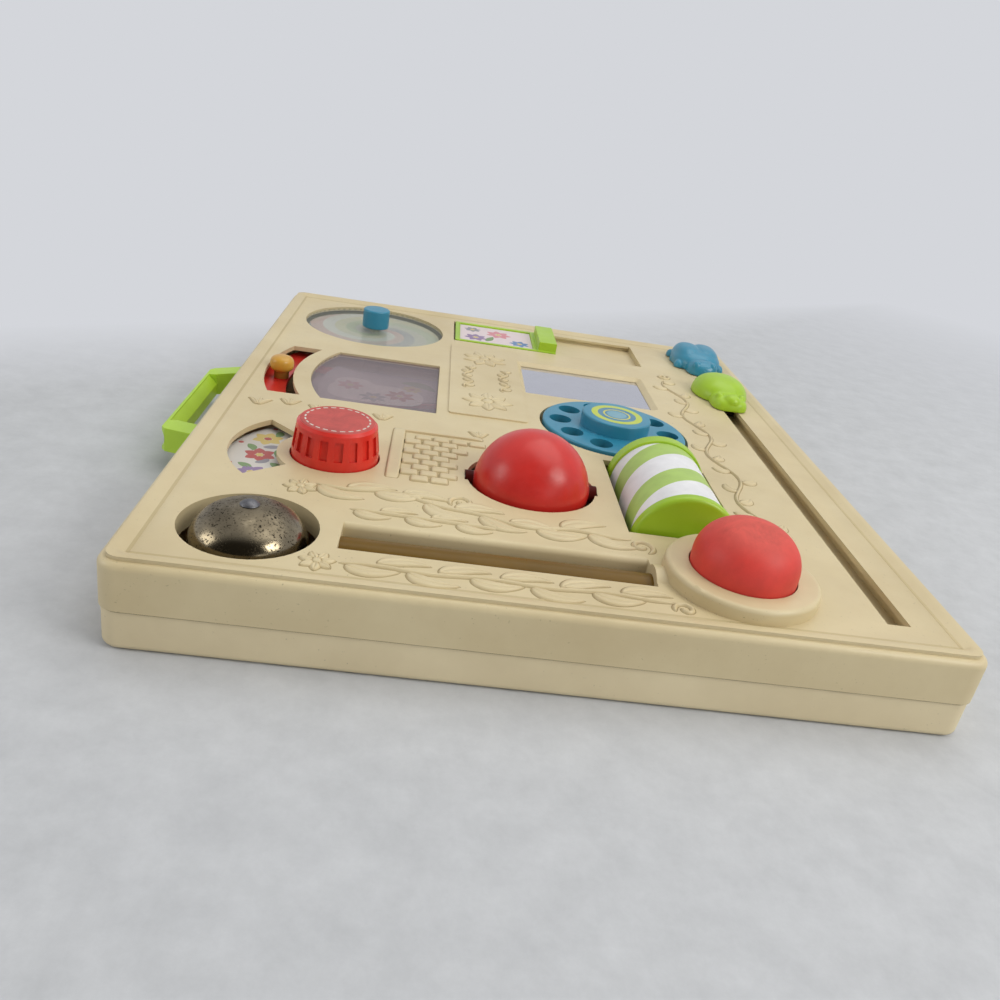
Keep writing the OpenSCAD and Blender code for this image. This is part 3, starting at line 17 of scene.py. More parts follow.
import bmesh
import bpy
import numpy as np
from mathutils import Matrix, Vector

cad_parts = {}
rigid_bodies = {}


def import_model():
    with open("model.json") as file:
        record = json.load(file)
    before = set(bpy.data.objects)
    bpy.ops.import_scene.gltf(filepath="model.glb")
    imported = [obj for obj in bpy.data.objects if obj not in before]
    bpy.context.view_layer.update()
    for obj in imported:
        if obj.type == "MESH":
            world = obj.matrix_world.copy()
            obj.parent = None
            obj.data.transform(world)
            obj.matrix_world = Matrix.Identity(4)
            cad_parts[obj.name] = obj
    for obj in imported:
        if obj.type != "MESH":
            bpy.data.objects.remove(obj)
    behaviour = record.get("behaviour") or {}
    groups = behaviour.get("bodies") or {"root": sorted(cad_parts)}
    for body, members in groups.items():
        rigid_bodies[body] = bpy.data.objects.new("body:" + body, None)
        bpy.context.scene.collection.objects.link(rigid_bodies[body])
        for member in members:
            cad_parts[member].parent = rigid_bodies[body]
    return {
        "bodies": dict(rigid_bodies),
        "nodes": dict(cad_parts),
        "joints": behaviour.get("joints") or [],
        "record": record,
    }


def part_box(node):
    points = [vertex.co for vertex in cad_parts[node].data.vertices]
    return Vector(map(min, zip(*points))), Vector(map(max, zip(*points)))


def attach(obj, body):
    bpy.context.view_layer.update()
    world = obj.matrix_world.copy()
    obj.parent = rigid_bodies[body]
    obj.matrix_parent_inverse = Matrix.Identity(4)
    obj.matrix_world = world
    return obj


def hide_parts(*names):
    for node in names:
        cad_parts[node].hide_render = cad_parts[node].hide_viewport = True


LOG = logging.getLogger("activity_centre")
MM = 0.001
# How far the underside of a raised form is sunk in its face, and how thick a print is, in millimetres
SUNK = 0.15
INK = 0.05
Array = np.ndarray
Colour = tuple[float, float, float]
Point = tuple[float, float]


class Body(str, Enum):
    """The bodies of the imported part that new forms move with."""

    HOUSING = "housing"
    BULB = "bulb"
    TURNER = "picture_turner"
    LEVER = "lever"
    DIAL = "dial"
    DOOR = "door"


def srgb(red: int, green: int, blue: int) -> Colour:
    """The linear colour of a screen colour.

    Args:
        red: Red from 0 to 255.
        green: Green from 0 to 255.
        blue: Blue from 0 to 255.

    Returns:
        The three linear values, from 0 to 1.
    """
    part = np.array([red, green, blue]) / 255
    linear = np.where(part <= 0.04045, part / 12.92, ((part + 0.055) / 1.055) ** 2.4)
    return float(linear[0]), float(linear[1]), float(linear[2])


def shaded(colour: Colour, share: float, lift: float = 0.0) -> Colour:
    """A colour times a share, plus an even lift."""
    return tuple(share * c + lift for c in colour)


class Graph:
    """A material's node tree, with short ways to add nodes and to join them."""

    def __init__(self, name: str) -> None:
        """Starts a material that holds one Principled shader.

        Args:
            name: Name of the material.
        """
        self.material = bpy.data.materials.new(name)
        self.material.use_nodes = True
        self.tree = self.material.node_tree
        self.shader = next(n for n in self.tree.nodes if n.type == "BSDF_PRINCIPLED")

    def put(self, socket: Any, value: Any) -> None:
        """Links a socket to an output, or sets it to a constant.

        Args:
            socket: The input to fill.
            value: An output socket, a number, or a colour of three numbers.
        """
        if isinstance(value, bpy.types.NodeSocket):
            self.tree.links.new(value, socket)
        elif socket.type == "RGBA":
            socket.default_value = (*value, 1.0)
        else:
            socket.default_value = value

    def shade(self, **inputs: Any) -> None:
        """Fills inputs of the shader.

        Args:
            **inputs: Values by input name, with underscores for spaces.
        """
        for name, value in inputs.items():
            self.put(self.shader.inputs[name.replace("_", " ")], value)

    def place(self, centre: Sequence[float] = (0, 0, 0), scale: Sequence[float] = (1, 1, 1)) -> Any:
        """Object coordinates measured from a point.

        Args:
            centre: The point, in millimetres.
            scale: Stretch of each axis after the move.

        Returns:
            The vector output.
        """
        coords = self.tree.nodes.new("ShaderNodeTexCoord")
        mapping = self.tree.nodes.new("ShaderNodeMapping")
        self.put(mapping.inputs["Vector"], coords.outputs["Object"])
        mapping.inputs["Scale"].default_value = tuple(scale)
        mapping.inputs["Location"].default_value = tuple(-c * MM * s for c, s in zip(centre, scale))
        return mapping.outputs["Vector"]

    def axes(self, centre: Sequence[float] = (0, 0, 0)) -> tuple[Any, Any, Any]:
        """Object coordinates from a point as three outputs.

        Args:
            centre: The point, in millimetres.

        Returns:
            The x, y and z outputs, in metres.
        """
        split = self.tree.nodes.new("ShaderNodeSeparateXYZ")
        self.put(split.inputs[0], self.place(centre))
        return split.outputs[0], split.outputs[1], split.outputs[2]

    def sum(self, kind: str, first: Any, second: Any = 0.0, third: Any = 0.0) -> Any:
        """One step of arithmetic.

        Args:
            kind: Name of the Math node's operation.
            first: First value.
            second: Second value, where the operation has one.
            third: Third value, where the operation has one.

        Returns:
            The value output.
        """
        node = self.tree.nodes.new("ShaderNodeMath")
        node.operation = kind
        for socket, value in zip(node.inputs, (first, second, third)):
            self.put(socket, value)
        return node.outputs[0]

    def distance(self, x: Any, y: Any) -> Any:
        """How far a point lies from the origin of two axes."""
        return self.sum("SQRT", self.sum("ADD", self.sum("MULTIPLY", x, x), self.sum("MULTIPLY", y, y)))

    def mix(self, share: Any, first: Any, second: Any) -> Any:
        """A blend of two colours.

        Args:
            share: How much of the second colour shows.
            first: First colour.
            second: Second colour.

        Returns:
            The colour output.
        """
        node = self.tree.nodes.new("ShaderNodeMix")
        node.data_type = "RGBA"
        for number, value in ((0, share), (6, first), (7, second)):
            self.put(node.inputs[number], value)
        return node.outputs[2]

    def noise(self, scale: float, detail: float = 3.0, rough: float = 0.5, warp: float = 0.0, at: Any = None) -> Any:
        """Cloudy noise.

        Args:
            scale: Clouds in a metre.
            detail: Number of finer layers.
            rough: Strength of the finer layers.
            warp: How far the clouds are twisted.
            at: Vector output to use, or None for the object's own coordinates.

        Returns:
            The value output, about 0.5 in the middle.
        """
        node = self.tree.nodes.new("ShaderNodeTexNoise")
        self.put(node.inputs["Vector"], self.place() if at is None else at)
        for name, value in (("Scale", scale), ("Detail", detail), ("Roughness", rough), ("Distortion", warp)):
            node.inputs[name].default_value = value
        return node.outputs[0]

    def steps(self, share: Any, stops: Sequence[tuple[float, Colour]], hard: bool = False) -> Any:
        """A colour ramp.

        Args:
            share: Place along the ramp.
            stops: Places and their colours.
            hard: Whether colours change at once instead of blending.

        Returns:
            The colour output.
        """
        node = self.tree.nodes.new("ShaderNodeValToRGB")
        node.color_ramp.interpolation = "CONSTANT" if hard else "LINEAR"
        stones = node.color_ramp.elements
        while len(stones) < len(stops):
            stones.new(1.0)
        for stone, (place, colour) in zip(stones, stops):
            stone.position = place
            stone.color = (*colour, 1.0)
        self.put(node.inputs[0], share)
        return node.outputs[0]

    def band(self, value: Any, low: float, high: float) -> Any:
        """A share that climbs from 0 at one value to 1 at another.

        Args:
            value: The value to test.
            low: Where the share is 0.
            high: Where the share is 1.

        Returns:
            The value output.
        """
        node = self.tree.nodes.new("ShaderNodeMapRange")
        for number, entry in enumerate((value, low, high, 0.0, 1.0)):
            self.put(node.inputs[number], entry)
        return node.outputs[0]

    def bump(self, height: Any, strength: float, depth: float) -> None:
        """Roughens the surface.

        Args:
            height: Height output.
            strength: Strength of the effect.
            depth: Depth in millimetres.
        """
        node = self.tree.nodes.new("ShaderNodeBump")
        node.inputs["Strength"].default_value = strength
        node.inputs["Distance"].default_value = depth * MM
        self.put(node.inputs["Height"], height)
        self.put(self.shader.inputs["Normal"], node.outputs[0])


class Finish(ABC):
    """A look of a surface, which can make its material."""

    name: str

    @abstractmethod
    def lay(self, g: Graph) -> None:
        """Fills the inputs of the shader.

        Args:
            g: The material's node tree.
        """

    def build(self) -> bpy.types.Material:
        """Makes the material.

        Returns:
            The material.
        """
        graph = Graph(self.name)
        self.lay(graph)
        return graph.material


@dataclass(frozen=True)
class MouldedPlastic(Finish):
    """Moulded plastic with clouds of a second tone, dirt specks and a fine grain."""

    name: str
    colour: Colour
    shade: Colour
    rough: float = 0.38
    coat: float = 0.0
    specks: float = 0.0
    grain: float = 0.08

    def lay(self, g: Graph) -> None:
        """Fills the inputs of the shader.

        Args:
            g: The material's node tree.
        """
        tone = g.steps(g.noise(16, 5, 0.6), [(0.38, self.colour), (0.7, self.shade)])
        if self.specks:
            dark = shaded(self.shade, 0.35)
            dirt = g.band(g.noise(900, 2, 0.4), 0.7, 0.78)
            patch = g.band(g.noise(38, 3, 0.6), 0.4, 0.62)
            tone = g.mix(g.sum("MULTIPLY", g.sum("MULTIPLY", dirt, patch), self.specks), tone, dark)
        worn = g.band(g.noise(60, 6, 0.65), 0.3, 0.7)
        g.shade(Base_Color=tone, Roughness=g.sum("MULTIPLY_ADD", worn, 0.16, self.rough - 0.08))
        g.shade(Coat_Weight=self.coat, Coat_Roughness=0.12, Specular_IOR_Level=0.5)
        g.bump(g.noise(1500, 3, 0.5), self.grain, 0.2)


@dataclass(frozen=True)
class CappedPlastic(Finish):
    """Glossy plastic with a second colour above a level, where it is also matt. On the bulb that colour is a painted
    highlight, on the lever a painted shade under the knob.
    """

    name: str
    colour: Colour
    top: Colour
    level: float
    blend: float = 0.4
    rough: float = 0.24
    top_rough: float = 0.55

    def lay(self, g: Graph) -> None:
        """Fills the inputs of the shader.

        Args:
            g: The material's node tree.
        """
        high = g.band(g.axes()[2], (self.level - self.blend) * MM, self.level * MM)
        side = g.steps(g.noise(45, 5, 0.65), [(0.35, self.colour), (0.75, shaded(self.colour, 0.72))])
        crown = g.steps(g.noise(70, 6, 0.7, 1.0), [(0.4, self.top), (0.68, shaded(self.top, 0.7))])
        g.shade(Base_Color=g.mix(high, side, crown), Specular_IOR_Level=0.5)
        g.shade(Roughness=g.sum("MULTIPLY_ADD", high, self.top_rough - self.rough, self.rough))
        g.bump(g.noise(1200, 3, 0.6), 0.12, 0.2)


@dataclass(frozen=True)
class EndedPlastic(Finish):
    """Glossy plastic that is dark past a distance from a middle plane across X: dirt and painted shade of the notches
    that the ends sit in.
    """

    name: str
    colour: Colour
    ends: Colour
    middle: float
    reach: float
    rough: float = 0.3

    def lay(self, g: Graph) -> None:
        """Fills the inputs of the shader.

        Args:
            g: The material's node tree.
        """
        x = g.axes((self.middle, 0, 0))[0]
        past = g.band(g.sum("ABSOLUTE", x), (self.reach - 0.4) * MM, (self.reach + 0.2) * MM)
        dark = shaded(self.colour, 0.8)
        side = g.steps(g.noise(45, 5, 0.65), [(0.4, self.colour), (0.75, dark)])
        # the dark ends are dirt and painted shade
        g.shade(Base_Color=g.mix(past, side, self.ends))
        g.shade(Specular_IOR_Level=g.sum("MULTIPLY_ADD", past, -0.45, 0.5))
        scuff = g.band(g.noise(160, 6, 0.7), 0.45, 0.75)
        g.shade(Roughness=g.sum("MULTIPLY_ADD", scuff, 0.14, self.rough))
        g.bump(g.noise(900, 3, 0.6), 0.08, 0.2)


@dataclass(frozen=True)
class PlatedMetal(Finish):
    """Plated metal with dark pits and a haze, which may be dull above a level."""

    name: str
    colour: Colour
    pit: Colour
    rough: float = 0.2
    pits: float = 0.6
    dull_from: float = 1000.0
    dull_over: float = 8.0

    def lay(self, g: Graph) -> None:
        """Fills the inputs of the shader.

        Args:
            g: The material's node tree.
        """
        spots = g.band(g.noise(1300, 2, 0.5), 0.56, 0.64)
        patch = g.band(g.noise(75, 5, 0.7), 0.34, 0.6)
        pitted = g.sum("MULTIPLY", g.sum("MULTIPLY", spots, patch), self.pits)
        tone = g.mix(g.sum("MULTIPLY", patch, 0.4 * self.pits), self.colour, self.pit)
        high = g.band(g.axes()[2], self.dull_from * MM, (self.dull_from + self.dull_over) * MM)
        dull = g.sum("MULTIPLY", high, g.band(g.noise(140, 4, 0.6), 0.2, 0.5))
        tone = g.mix(g.sum("MULTIPLY", dull, 0.45), tone, self.pit)
        g.shade(Base_Color=g.mix(pitted, tone, shaded(self.pit, 0.35)), Metallic=1.0)
        haze = g.sum("MULTIPLY_ADD", dull, 0.3, g.sum("MULTIPLY_ADD", patch, 0.08, self.rough))
        g.shade(Roughness=g.sum("ADD", haze, g.sum("MULTIPLY", pitted, 0.35)))
        g.bump(g.sum("SUBTRACT", g.noise(260, 4, 0.6), g.sum("MULTIPLY", pitted, 0.6)), 0.12, 0.15)


@dataclass(frozen=True)
class SeeThrough(Finish):
    """Thin see-through plastic with a tint and fine scratches."""

    name: str
    tint: Colour
    veil: float
    rough: float = 0.08
    gloss: float = 0.4

    def lay(self, g: Graph) -> None:
        """Fills the inputs of the shader.

        Args:
            g: The material's node tree.
        """
        fine = g.place(scale=(1.0, 0.12, 1.0))
        scratch = g.band(g.noise(700, 2, 0.5, 0.6, fine), 0.62, 0.72)
        cloud = g.noise(40, 4, 0.6)
        tone = g.steps(cloud, [(0.35, self.tint), (0.72, shaded(self.tint, 0.82))])
        g.shade(Base_Color=tone, Specular_IOR_Level=2 * self.gloss, Coat_Weight=self.gloss, Coat_Roughness=0.05)
        g.shade(Roughness=g.sum("MULTIPLY_ADD", scratch, 0.2, self.rough))
        g.shade(Alpha=g.sum("MULTIPLY_ADD", scratch, 0.06, self.veil))


@dataclass(frozen=True)
class SwirlPrint(Finish):
    """A round print whose coloured arms sweep outwards from its middle."""

    name: str
    centre: Point
    arms: tuple[Colour, ...]
    turns: float = 1.15
    reach: float = 43.0

    def lay(self, g: Graph) -> None:
        """Fills the inputs of the shader.

        Args:
            g: The material's node tree.
        """
        x, y, _ = g.axes((*self.centre, 0))
        far = g.distance(x, y)
        share = g.sum("DIVIDE", far, self.reach * MM)
        angle = g.sum("DIVIDE", g.sum("ARCTAN2", y, x), 2 * math.pi)
        bent = g.sum("MULTIPLY_ADD", g.sum("POWER", share, 0.7), self.turns, angle)
        wave = g.sum("MULTIPLY_ADD", g.noise(30, 3, 0.5), 0.05, bent)
        place = g.sum("FRACT", g.sum("ADD", wave, 3.0))
        count = len(self.arms)
        tone = g.steps(place, [(k / count, c) for k, c in enumerate(self.arms)], hard=True)
        faded = g.mix(g.band(g.noise(24, 4, 0.6), 0.35, 0.8), tone, srgb(214, 214, 206))
        g.shade(Base_Color=faded, Roughness=0.5, Specular_IOR_Level=0.3)


@dataclass(frozen=True)
class BandPrint(Finish):
    """A sleeve print of slanted bands that wind round an axis along Y."""

    name: str
    centre: tuple[float, float, float]
    paper: Colour
    ink: Colour
    pitch: float = 30.0
    share: float = 0.45
    start: float = 0.21
    bands: int = 2

    def lay(self, g: Graph) -> None:
        """Fills the inputs of the shader.

        Args:
            g: The material's node tree.
        """
        x, y, z = g.axes(self.centre)
        angle = g.sum("DIVIDE", g.sum("ARCTAN2", x, z), 2 * math.pi)
        along = g.sum("MULTIPLY_ADD", angle, -self.bands, g.sum("DIVIDE", y, self.pitch * MM))
        place = g.sum("FRACT", g.sum("ADD", along, 9.0 + self.start))
        inked = g.sum("LESS_THAN", place, self.share)
        worn = g.band(g.noise(120, 5, 0.6), 0.3, 0.75)
        paper = g.mix(worn, self.paper, shaded(self.paper, 0.86))
        ink = g.mix(worn, self.ink, shaded(self.ink, 0.84))
        g.shade(Base_Color=g.mix(inked, paper, ink), Roughness=0.42, Specular_IOR_Level=0.4)


@dataclass(frozen=True)
class RingPrint(Finish):
    """A round print of rings about an upright axis."""

    name: str
    centre: Point
    rings: tuple[tuple[float, Colour], ...]
    reach: float

    def lay(self, g: Graph) -> None:
        """Fills the inputs of the shader.

        Args:
            g: The material's node tree.
        """
        x, y, _ = g.axes((*self.centre, 0))
        far = g.distance(x, y)
        share = g.sum("DIVIDE", far, self.reach * MM)
        tone = g.steps(share, [(r / self.reach, c) for r, c in self.rings], hard=True)
        worn = g.band(g.noise(160, 5, 0.65), 0.35, 0.8)
        g.shade(Base_Color=g.mix(g.sum("MULTIPLY", worn, 0.25), tone, srgb(190, 190, 180)), Roughness=0.45)


@dataclass(frozen=True)
class PrintInk(Finish):
    """Printed ink or card: one colour with a faint dot grain and fading."""

    name: str
    colour: Colour
    rough: float = 0.5

    def lay(self, g: Graph) -> None:
        """Fills the inputs of the shader.

        Args:
            g: The material's node tree.
        """
        faded = shaded(self.colour, 0.75, 0.2)
        tone = g.mix(g.sum("MULTIPLY", g.band(g.noise(55, 5, 0.6), 0.35, 0.8), 0.4), self.colour, faded)
        dots = g.band(g.noise(1400, 1, 0.5), 0.55, 0.7)
        g.shade(Base_Color=g.mix(g.sum("MULTIPLY", dots, 0.12), tone, faded), Roughness=self.rough)


class Paints:
    """Every finish of the object, each made once."""

    cream = MouldedPlastic("cream_case", srgb(215, 199, 159), srgb(203, 185, 144), 0.42, 0.0, 0.5)
    # painted light: the case's cream made paler, so the cover's walls look more brightly lit
    cover = MouldedPlastic("cream_cover_lit", srgb(228, 212, 174), srgb(215, 198, 160), 0.46, 0.0, 0.45)
    # dirt and painted shade: a darker cream strip in the groove at the inner foot of the rim
    rim = MouldedPlastic("rim_foot_dirt_and_shade", srgb(198, 181, 140), srgb(188, 170, 128), 0.55, 0.0, 0.5)
    # dirt and painted shade: a darker cream film round the foot of the relief, where the ornament meets the panel
    dirt_and_shade = MouldedPlastic("edge_dirt_and_shade", srgb(176, 157, 116), srgb(158, 139, 100), 0.6, 0.0, 0.5)
    # dirt and painted shade: a dark band in the gap of the seam between the shells
    seam = MouldedPlastic("seam_dirt_and_shade", srgb(128, 110, 78), srgb(100, 84, 58), 0.7, 0.0, 0.6)
    lime = MouldedPlastic("lime_plastic", srgb(166, 203, 40), srgb(148, 186, 30), 0.4, 0.1, 0.15)
    # painted light: the lime made paler, so the handle looks more brightly lit
    lit_grip = MouldedPlastic("grip_lime_painted_light", srgb(184, 221, 58), srgb(168, 206, 46), 0.4, 0.1, 0.15)
    red = MouldedPlastic("red_plastic", srgb(210, 46, 36), srgb(186, 34, 26), 0.36, 0.2, 0.2, 0.05)
    # dirt and painted shade: the ball's stub ends are dark red, as they sit in shaded notches of the panel
    ball = EndedPlastic("ball_red", srgb(206, 42, 34), srgb(74, 20, 16), -5.0, 26.0)
    knob = CappedPlastic("red_knob", srgb(230, 54, 42), srgb(198, 82, 74), 50.45)
    # painted shade: the neck above the plate is a darker ochre, for the shade under the lever's knob
    lever = CappedPlastic("lever_red", srgb(216, 50, 39), srgb(168, 112, 38), 28.3, 0.3, 0.3, 0.4)
    # painted highlight: the paler, matt top of the bulb stands for the light falling on it from above
    bulb = CappedPlastic("soft_red", srgb(228, 66, 55), srgb(220, 88, 76), 59.0, 7.0, 0.5, 0.66)
    blue = MouldedPlastic("blue_plastic", srgb(52, 140, 170), srgb(40, 122, 152), 0.36, 0.15, 0.2)
    ochre = MouldedPlastic("ochre_plastic", srgb(218, 168, 62), srgb(186, 132, 40), 0.34, 0.2, 0.3)
    chrome = PlatedMetal("bell_plating", srgb(156, 144, 120), srgb(62, 55, 46), 0.13, 1.0, 35.0, 5.0)
    rivet = PlatedMetal("rivet_metal", srgb(116, 116, 120), srgb(84, 82, 80), 0.42, 0.5)
    steel = PlatedMetal("plain_steel", srgb(160, 156, 148), srgb(104, 98, 90), 0.38, 0.5)
    amber = SeeThrough("amber_tube", srgb(114, 86, 30), 0.98, 0.3, 0.07)
    dark = MouldedPlastic("dark_plastic", srgb(64, 50, 40), srgb(48, 38, 30), 0.5, 0.0, 0.2)
    white = MouldedPlastic("white_plastic", srgb(226, 222, 210), srgb(206, 200, 188), 0.45, 0.0, 0.1)
    clear = SeeThrough("clear_cover", srgb(172, 178, 160), 0.24, 0.06)
    tinted = SeeThrough("tinted_window", srgb(156, 136, 140), 0.44, 0.07)
    mirror = PlatedMetal("mirror_film", srgb(206, 206, 214), srgb(172, 170, 178), 0.05, 0.12)

    made: dict[str, bpy.types.Material] = {}

    @classmethod
    def of(cls, finish: Finish) -> bpy.types.Material:
        """The material of a finish, made when it is first asked for.

        Args:
            finish: The finish.

        Returns:
            The material.
        """
        if finish.name not in cls.made:
            cls.made[finish.name] = finish.build()
        return cls.made[finish.name]


@dataclass
class Surface:
    """A form as points in millimetres and the corner numbers of its faces."""

    points: Array
    faces: Array

    @staticmethod
    def joined(parts: Sequence[Surface]) -> Surface:
        """Several forms as one.

        Args:
            parts: The forms.

        Returns:
            One form that holds them all.
        """
        counts = np.cumsum([0] + [len(p.points) for p in parts[:-1]])
        points = np.concatenate([p.points for p in parts])
        faces = np.concatenate([p.faces + n for p, n in zip(parts, counts)])
        return Surface(points, faces)

    @staticmethod
    def grid(points: Array, wrap_rows: bool, wrap_columns: bool) -> Surface:
        """Faces between the neighbouring points of a grid.

        Args:
            points: Points as rows, columns and three values.
            wrap_rows: Whether the last row joins the first.
            wrap_columns: Whether the last column joins the first.

        Returns:
            The form.
        """
        rows, columns = points.shape[:2]
        i, j = np.meshgrid(
            np.arange(rows if wrap_rows else rows - 1),
            np.arange(columns if wrap_columns else columns - 1),
            indexing="ij",
        )
        k, m = (i + 1) % rows, (j + 1) % columns
        faces = np.stack([i * columns + j, k * columns + j, k * columns + m, i * columns + m], -1)
        return Surface(points.reshape(-1, 3), faces.reshape(-1, 4))


class Form:
    """Formulas that make forms."""

    @staticmethod
    def turned(profile: Array, centre: Point, steps: int) -> Surface:
        """A profile turned about an upright axis.

        A pair (r, h) of the profile and an angle a give the point r cos a and r sin a across the axis, and h along it.

        Args:
            profile: Radius and height pairs.
            centre: Where the axis stands.
            steps: Number of angles.

        Returns:
            The form, closed where the profile starts and ends on the axis.
        """
        angle = np.linspace(0, 2 * np.pi, steps, endpoint=False)
        radius, height = profile[:, :1], profile[:, 1:]
        points = np.stack([radius * np.cos(angle), radius * np.sin(angle), height + 0 * angle], -1)
        points[:, :, :2] += np.array(centre)
        return Surface.grid(points, False, True)

    @staticmethod
    def lead(path: Array) -> tuple[Array, Array]:
        """The directions along a line and to its left, at each of its points.

        Args:
            path: Points along the line.

        Returns:
            Both directions, each of length 1.
        """
        along = np.gradient(path, axis=0)
        along /= np.maximum(np.linalg.norm(along, axis=1, keepdims=True), 1e-9)
        return along, np.stack([-along[:, 1], along[:, 0]], -1)

    @staticmethod
    def oval(power: float, count: int) -> Array:
        """Points on the outline |x|^power + |y|^power = 1.

        Args:
            power: Squareness of the outline; 2 is round.
            count: Number of points.

        Returns:
            The points.
        """
        angle = np.linspace(0, 2 * np.pi, count, endpoint=False)
        ring = np.stack([np.cos(angle), np.sin(angle)], -1)
        return np.sign(ring) * np.abs(ring) ** (2 / power)

    @staticmethod
    def rings(centre: Point, outline: Array, share: Array, level: Array) -> Surface:
        """An outline that is repeated at several sizes and levels.

        Args:
            centre: Middle of the form.
            outline: Points of the outline.
            share: Size of each repeat.
            level: Level of each repeat.

        Returns:
            The form.
        """
        points = np.empty((len(share), len(outline), 3))
        points[:, :, :2] = np.array(centre) + share[:, None, None] * outline
        points[:, :, 2] = level[:, None]
        return Surface.grid(points, False, True)

    @staticmethod
    def ridge(path: Array, half: Array, rise: Array, base: float, power: float = 2.5, vein: float = 0.0) -> Surface:
        """A low raised line or leaf that lies on a flat face.

        Across the path, at share v from -1 to 1 of the half width, the height over the face is
        rise (1 - |v|^power) less a vein, which is a narrow bell curve about v = 0. The underside is sunk in the face.

        Args:
            path: Points along the middle line.
            half: Half width at each point.
            rise: Height at each point.
            base: Level of the face.
            power: How flat the top is.
            vein: Depth of the vein as a share of the rise.

        Returns:
            The form, closed where the half width is 0 at both ends.
        """
        side = Form.lead(path)[1]
        over = np.linspace(-1, 1, 11)
        share = np.concatenate([over, over[::-1]])
        crown = np.maximum(1 - np.abs(over) ** power - vein * np.exp(-((over / 0.16) ** 2)), 0)
        flat = path[:, None, :] + side[:, None, :] * (half[:, None] * share)[:, :, None]
        top = base + rise[:, None] * crown
        under = np.full_like(top, base - SUNK)
        points = np.concatenate([flat, np.concatenate([top, under], 1)[:, :, None]], -1)
        return Surface.grid(points, False, True)

    @staticmethod
    def leaf(
        start: Point, bend: Point, tip: Point, half: float, rise: float, base: float, power: float = 3.0
    ) -> Surface:
        """A leaf with a vein, whose middle line is a bent curve through three points.

        The half width at share t of the line is half sin(pi t^0.8)^0.8, so it is widest before the middle.

        Args:
            start: Where the stalk is.
            bend: Point that pulls the curve aside.
            tip: Where the leaf ends.
            half: Greatest half width.
            rise: Greatest height.
            base: Level of the face.
            power: How flat the top is, and how steep the sides.

        Returns:
            The form.
        """
        t = np.linspace(0, 1, 19)[:, None]
        path = (1 - t) ** 2 * np.array(start) + 2 * t * (1 - t) * np.array(bend) + t**2 * np.array(tip)
        swell = np.clip(np.sin(np.pi * t[:, 0] ** 0.8), 0, 1) ** 0.8
        return Form.ridge(path, half * swell, rise * swell**0.3, base, power, 0.45)

    @staticmethod
    def stem(path: Array, half: float, rise: float, base: float) -> Surface:
        """A round raised line of even width with pointed ends.

        Args:
            path: Points along the line.
            half: Half width.
            rise: Height.
            base: Level of the face.

        Returns:
            The form.
        """
        t = np.linspace(0, 1, len(path))
        taper = np.clip(np.minimum(t, 1 - t) * 14, 0, 1) ** 0.5
        return Form.ridge(path, half * taper, rise * taper, base, 2.0)

    @staticmethod
    def curl(centre: Point, reach: float, turns: float, start: float, half: float, rise: float, base: float) -> Surface:
        """A raised spiral: its distance from the centre grows evenly with the angle.

        Args:
            centre: Middle of the spiral.
            reach: Distance of its outer end.
            turns: Number of turns, negative to wind the other way.
            start: Angle of the inner end, in degrees.
            half: Half width of the line.
            rise: Height.
            base: Level of the face.

        Returns:
            The form.
        """
        t = np.linspace(0.12, 1, 60)
        angle = math.radians(start) + 2 * np.pi * turns * t
        path = np.array(centre) + (reach * t)[:, None] * np.stack([np.cos(angle), np.sin(angle)], -1)
        return Form.stem(path, half, rise, base)

    @staticmethod
    def pad(
        centre: Point, half: Point, rise: float, base: float, power: float = 4.0, turn: float = 0.0, steep: float = 6.0
    ) -> Surface:
        """A low pad with a rounded outline.

        The outline is |x / a|^power + |y / b|^power = 1. At share s of the way out to it the height over the face is
        rise (1 - s^steep). The underside is sunk in the face.

        Args:
            centre: Middle of the pad.
            half: Half sizes a and b.
            rise: Height.
            base: Level of the face.
            power: Squareness of the outline; 2 is round.
            turn: Turn in degrees.
            steep: How steep the sides are.

        Returns:
            The form.
        """
        a = math.radians(turn)
        spin = np.array([[math.cos(a), math.sin(a)], [-math.sin(a), math.cos(a)]])
        flat = (Form.oval(power, 40) * np.array(half)) @ spin
        share = np.array([0.0, 0.4, 0.7, 0.88, 0.96, 1.0, 1.0, 0.0])
        level = np.concatenate([base + rise * (1 - share[:6] ** steep), [base - SUNK, base - SUNK]])
        return Form.rings(centre, flat, share, level)

    @staticmethod
    def mound(
        centre: Point, half: Point, rise: float, base: float, power: float = 2.0, full: float = 2.0
    ) -> Surface:
        """A tall rounded lump with a flat underside.

        The outline is |x / a|^power + |y / b|^power = 1. At share s of the way out to it the height h over the
        underside follows s^full + (h / rise)^full = 1.

        Args:
            centre: Middle of the lump.
            half: Half sizes a and b.
            rise: Height.
            base: Level of the underside.
            power: Squareness of the outline; 2 is round.
            full: Fullness of the side; 2 is round.

        Returns:
            The form.
        """
        lean = np.linspace(0, np.pi / 2, 28)
        share = np.append(np.sin(lean) ** (2 / full), 0.0)
        level = np.append(base + rise * np.clip(np.cos(lean), 0, 1) ** (2 / full), base)
        return Form.rings(centre, Form.oval(power, 72) * np.array(half), share, level)

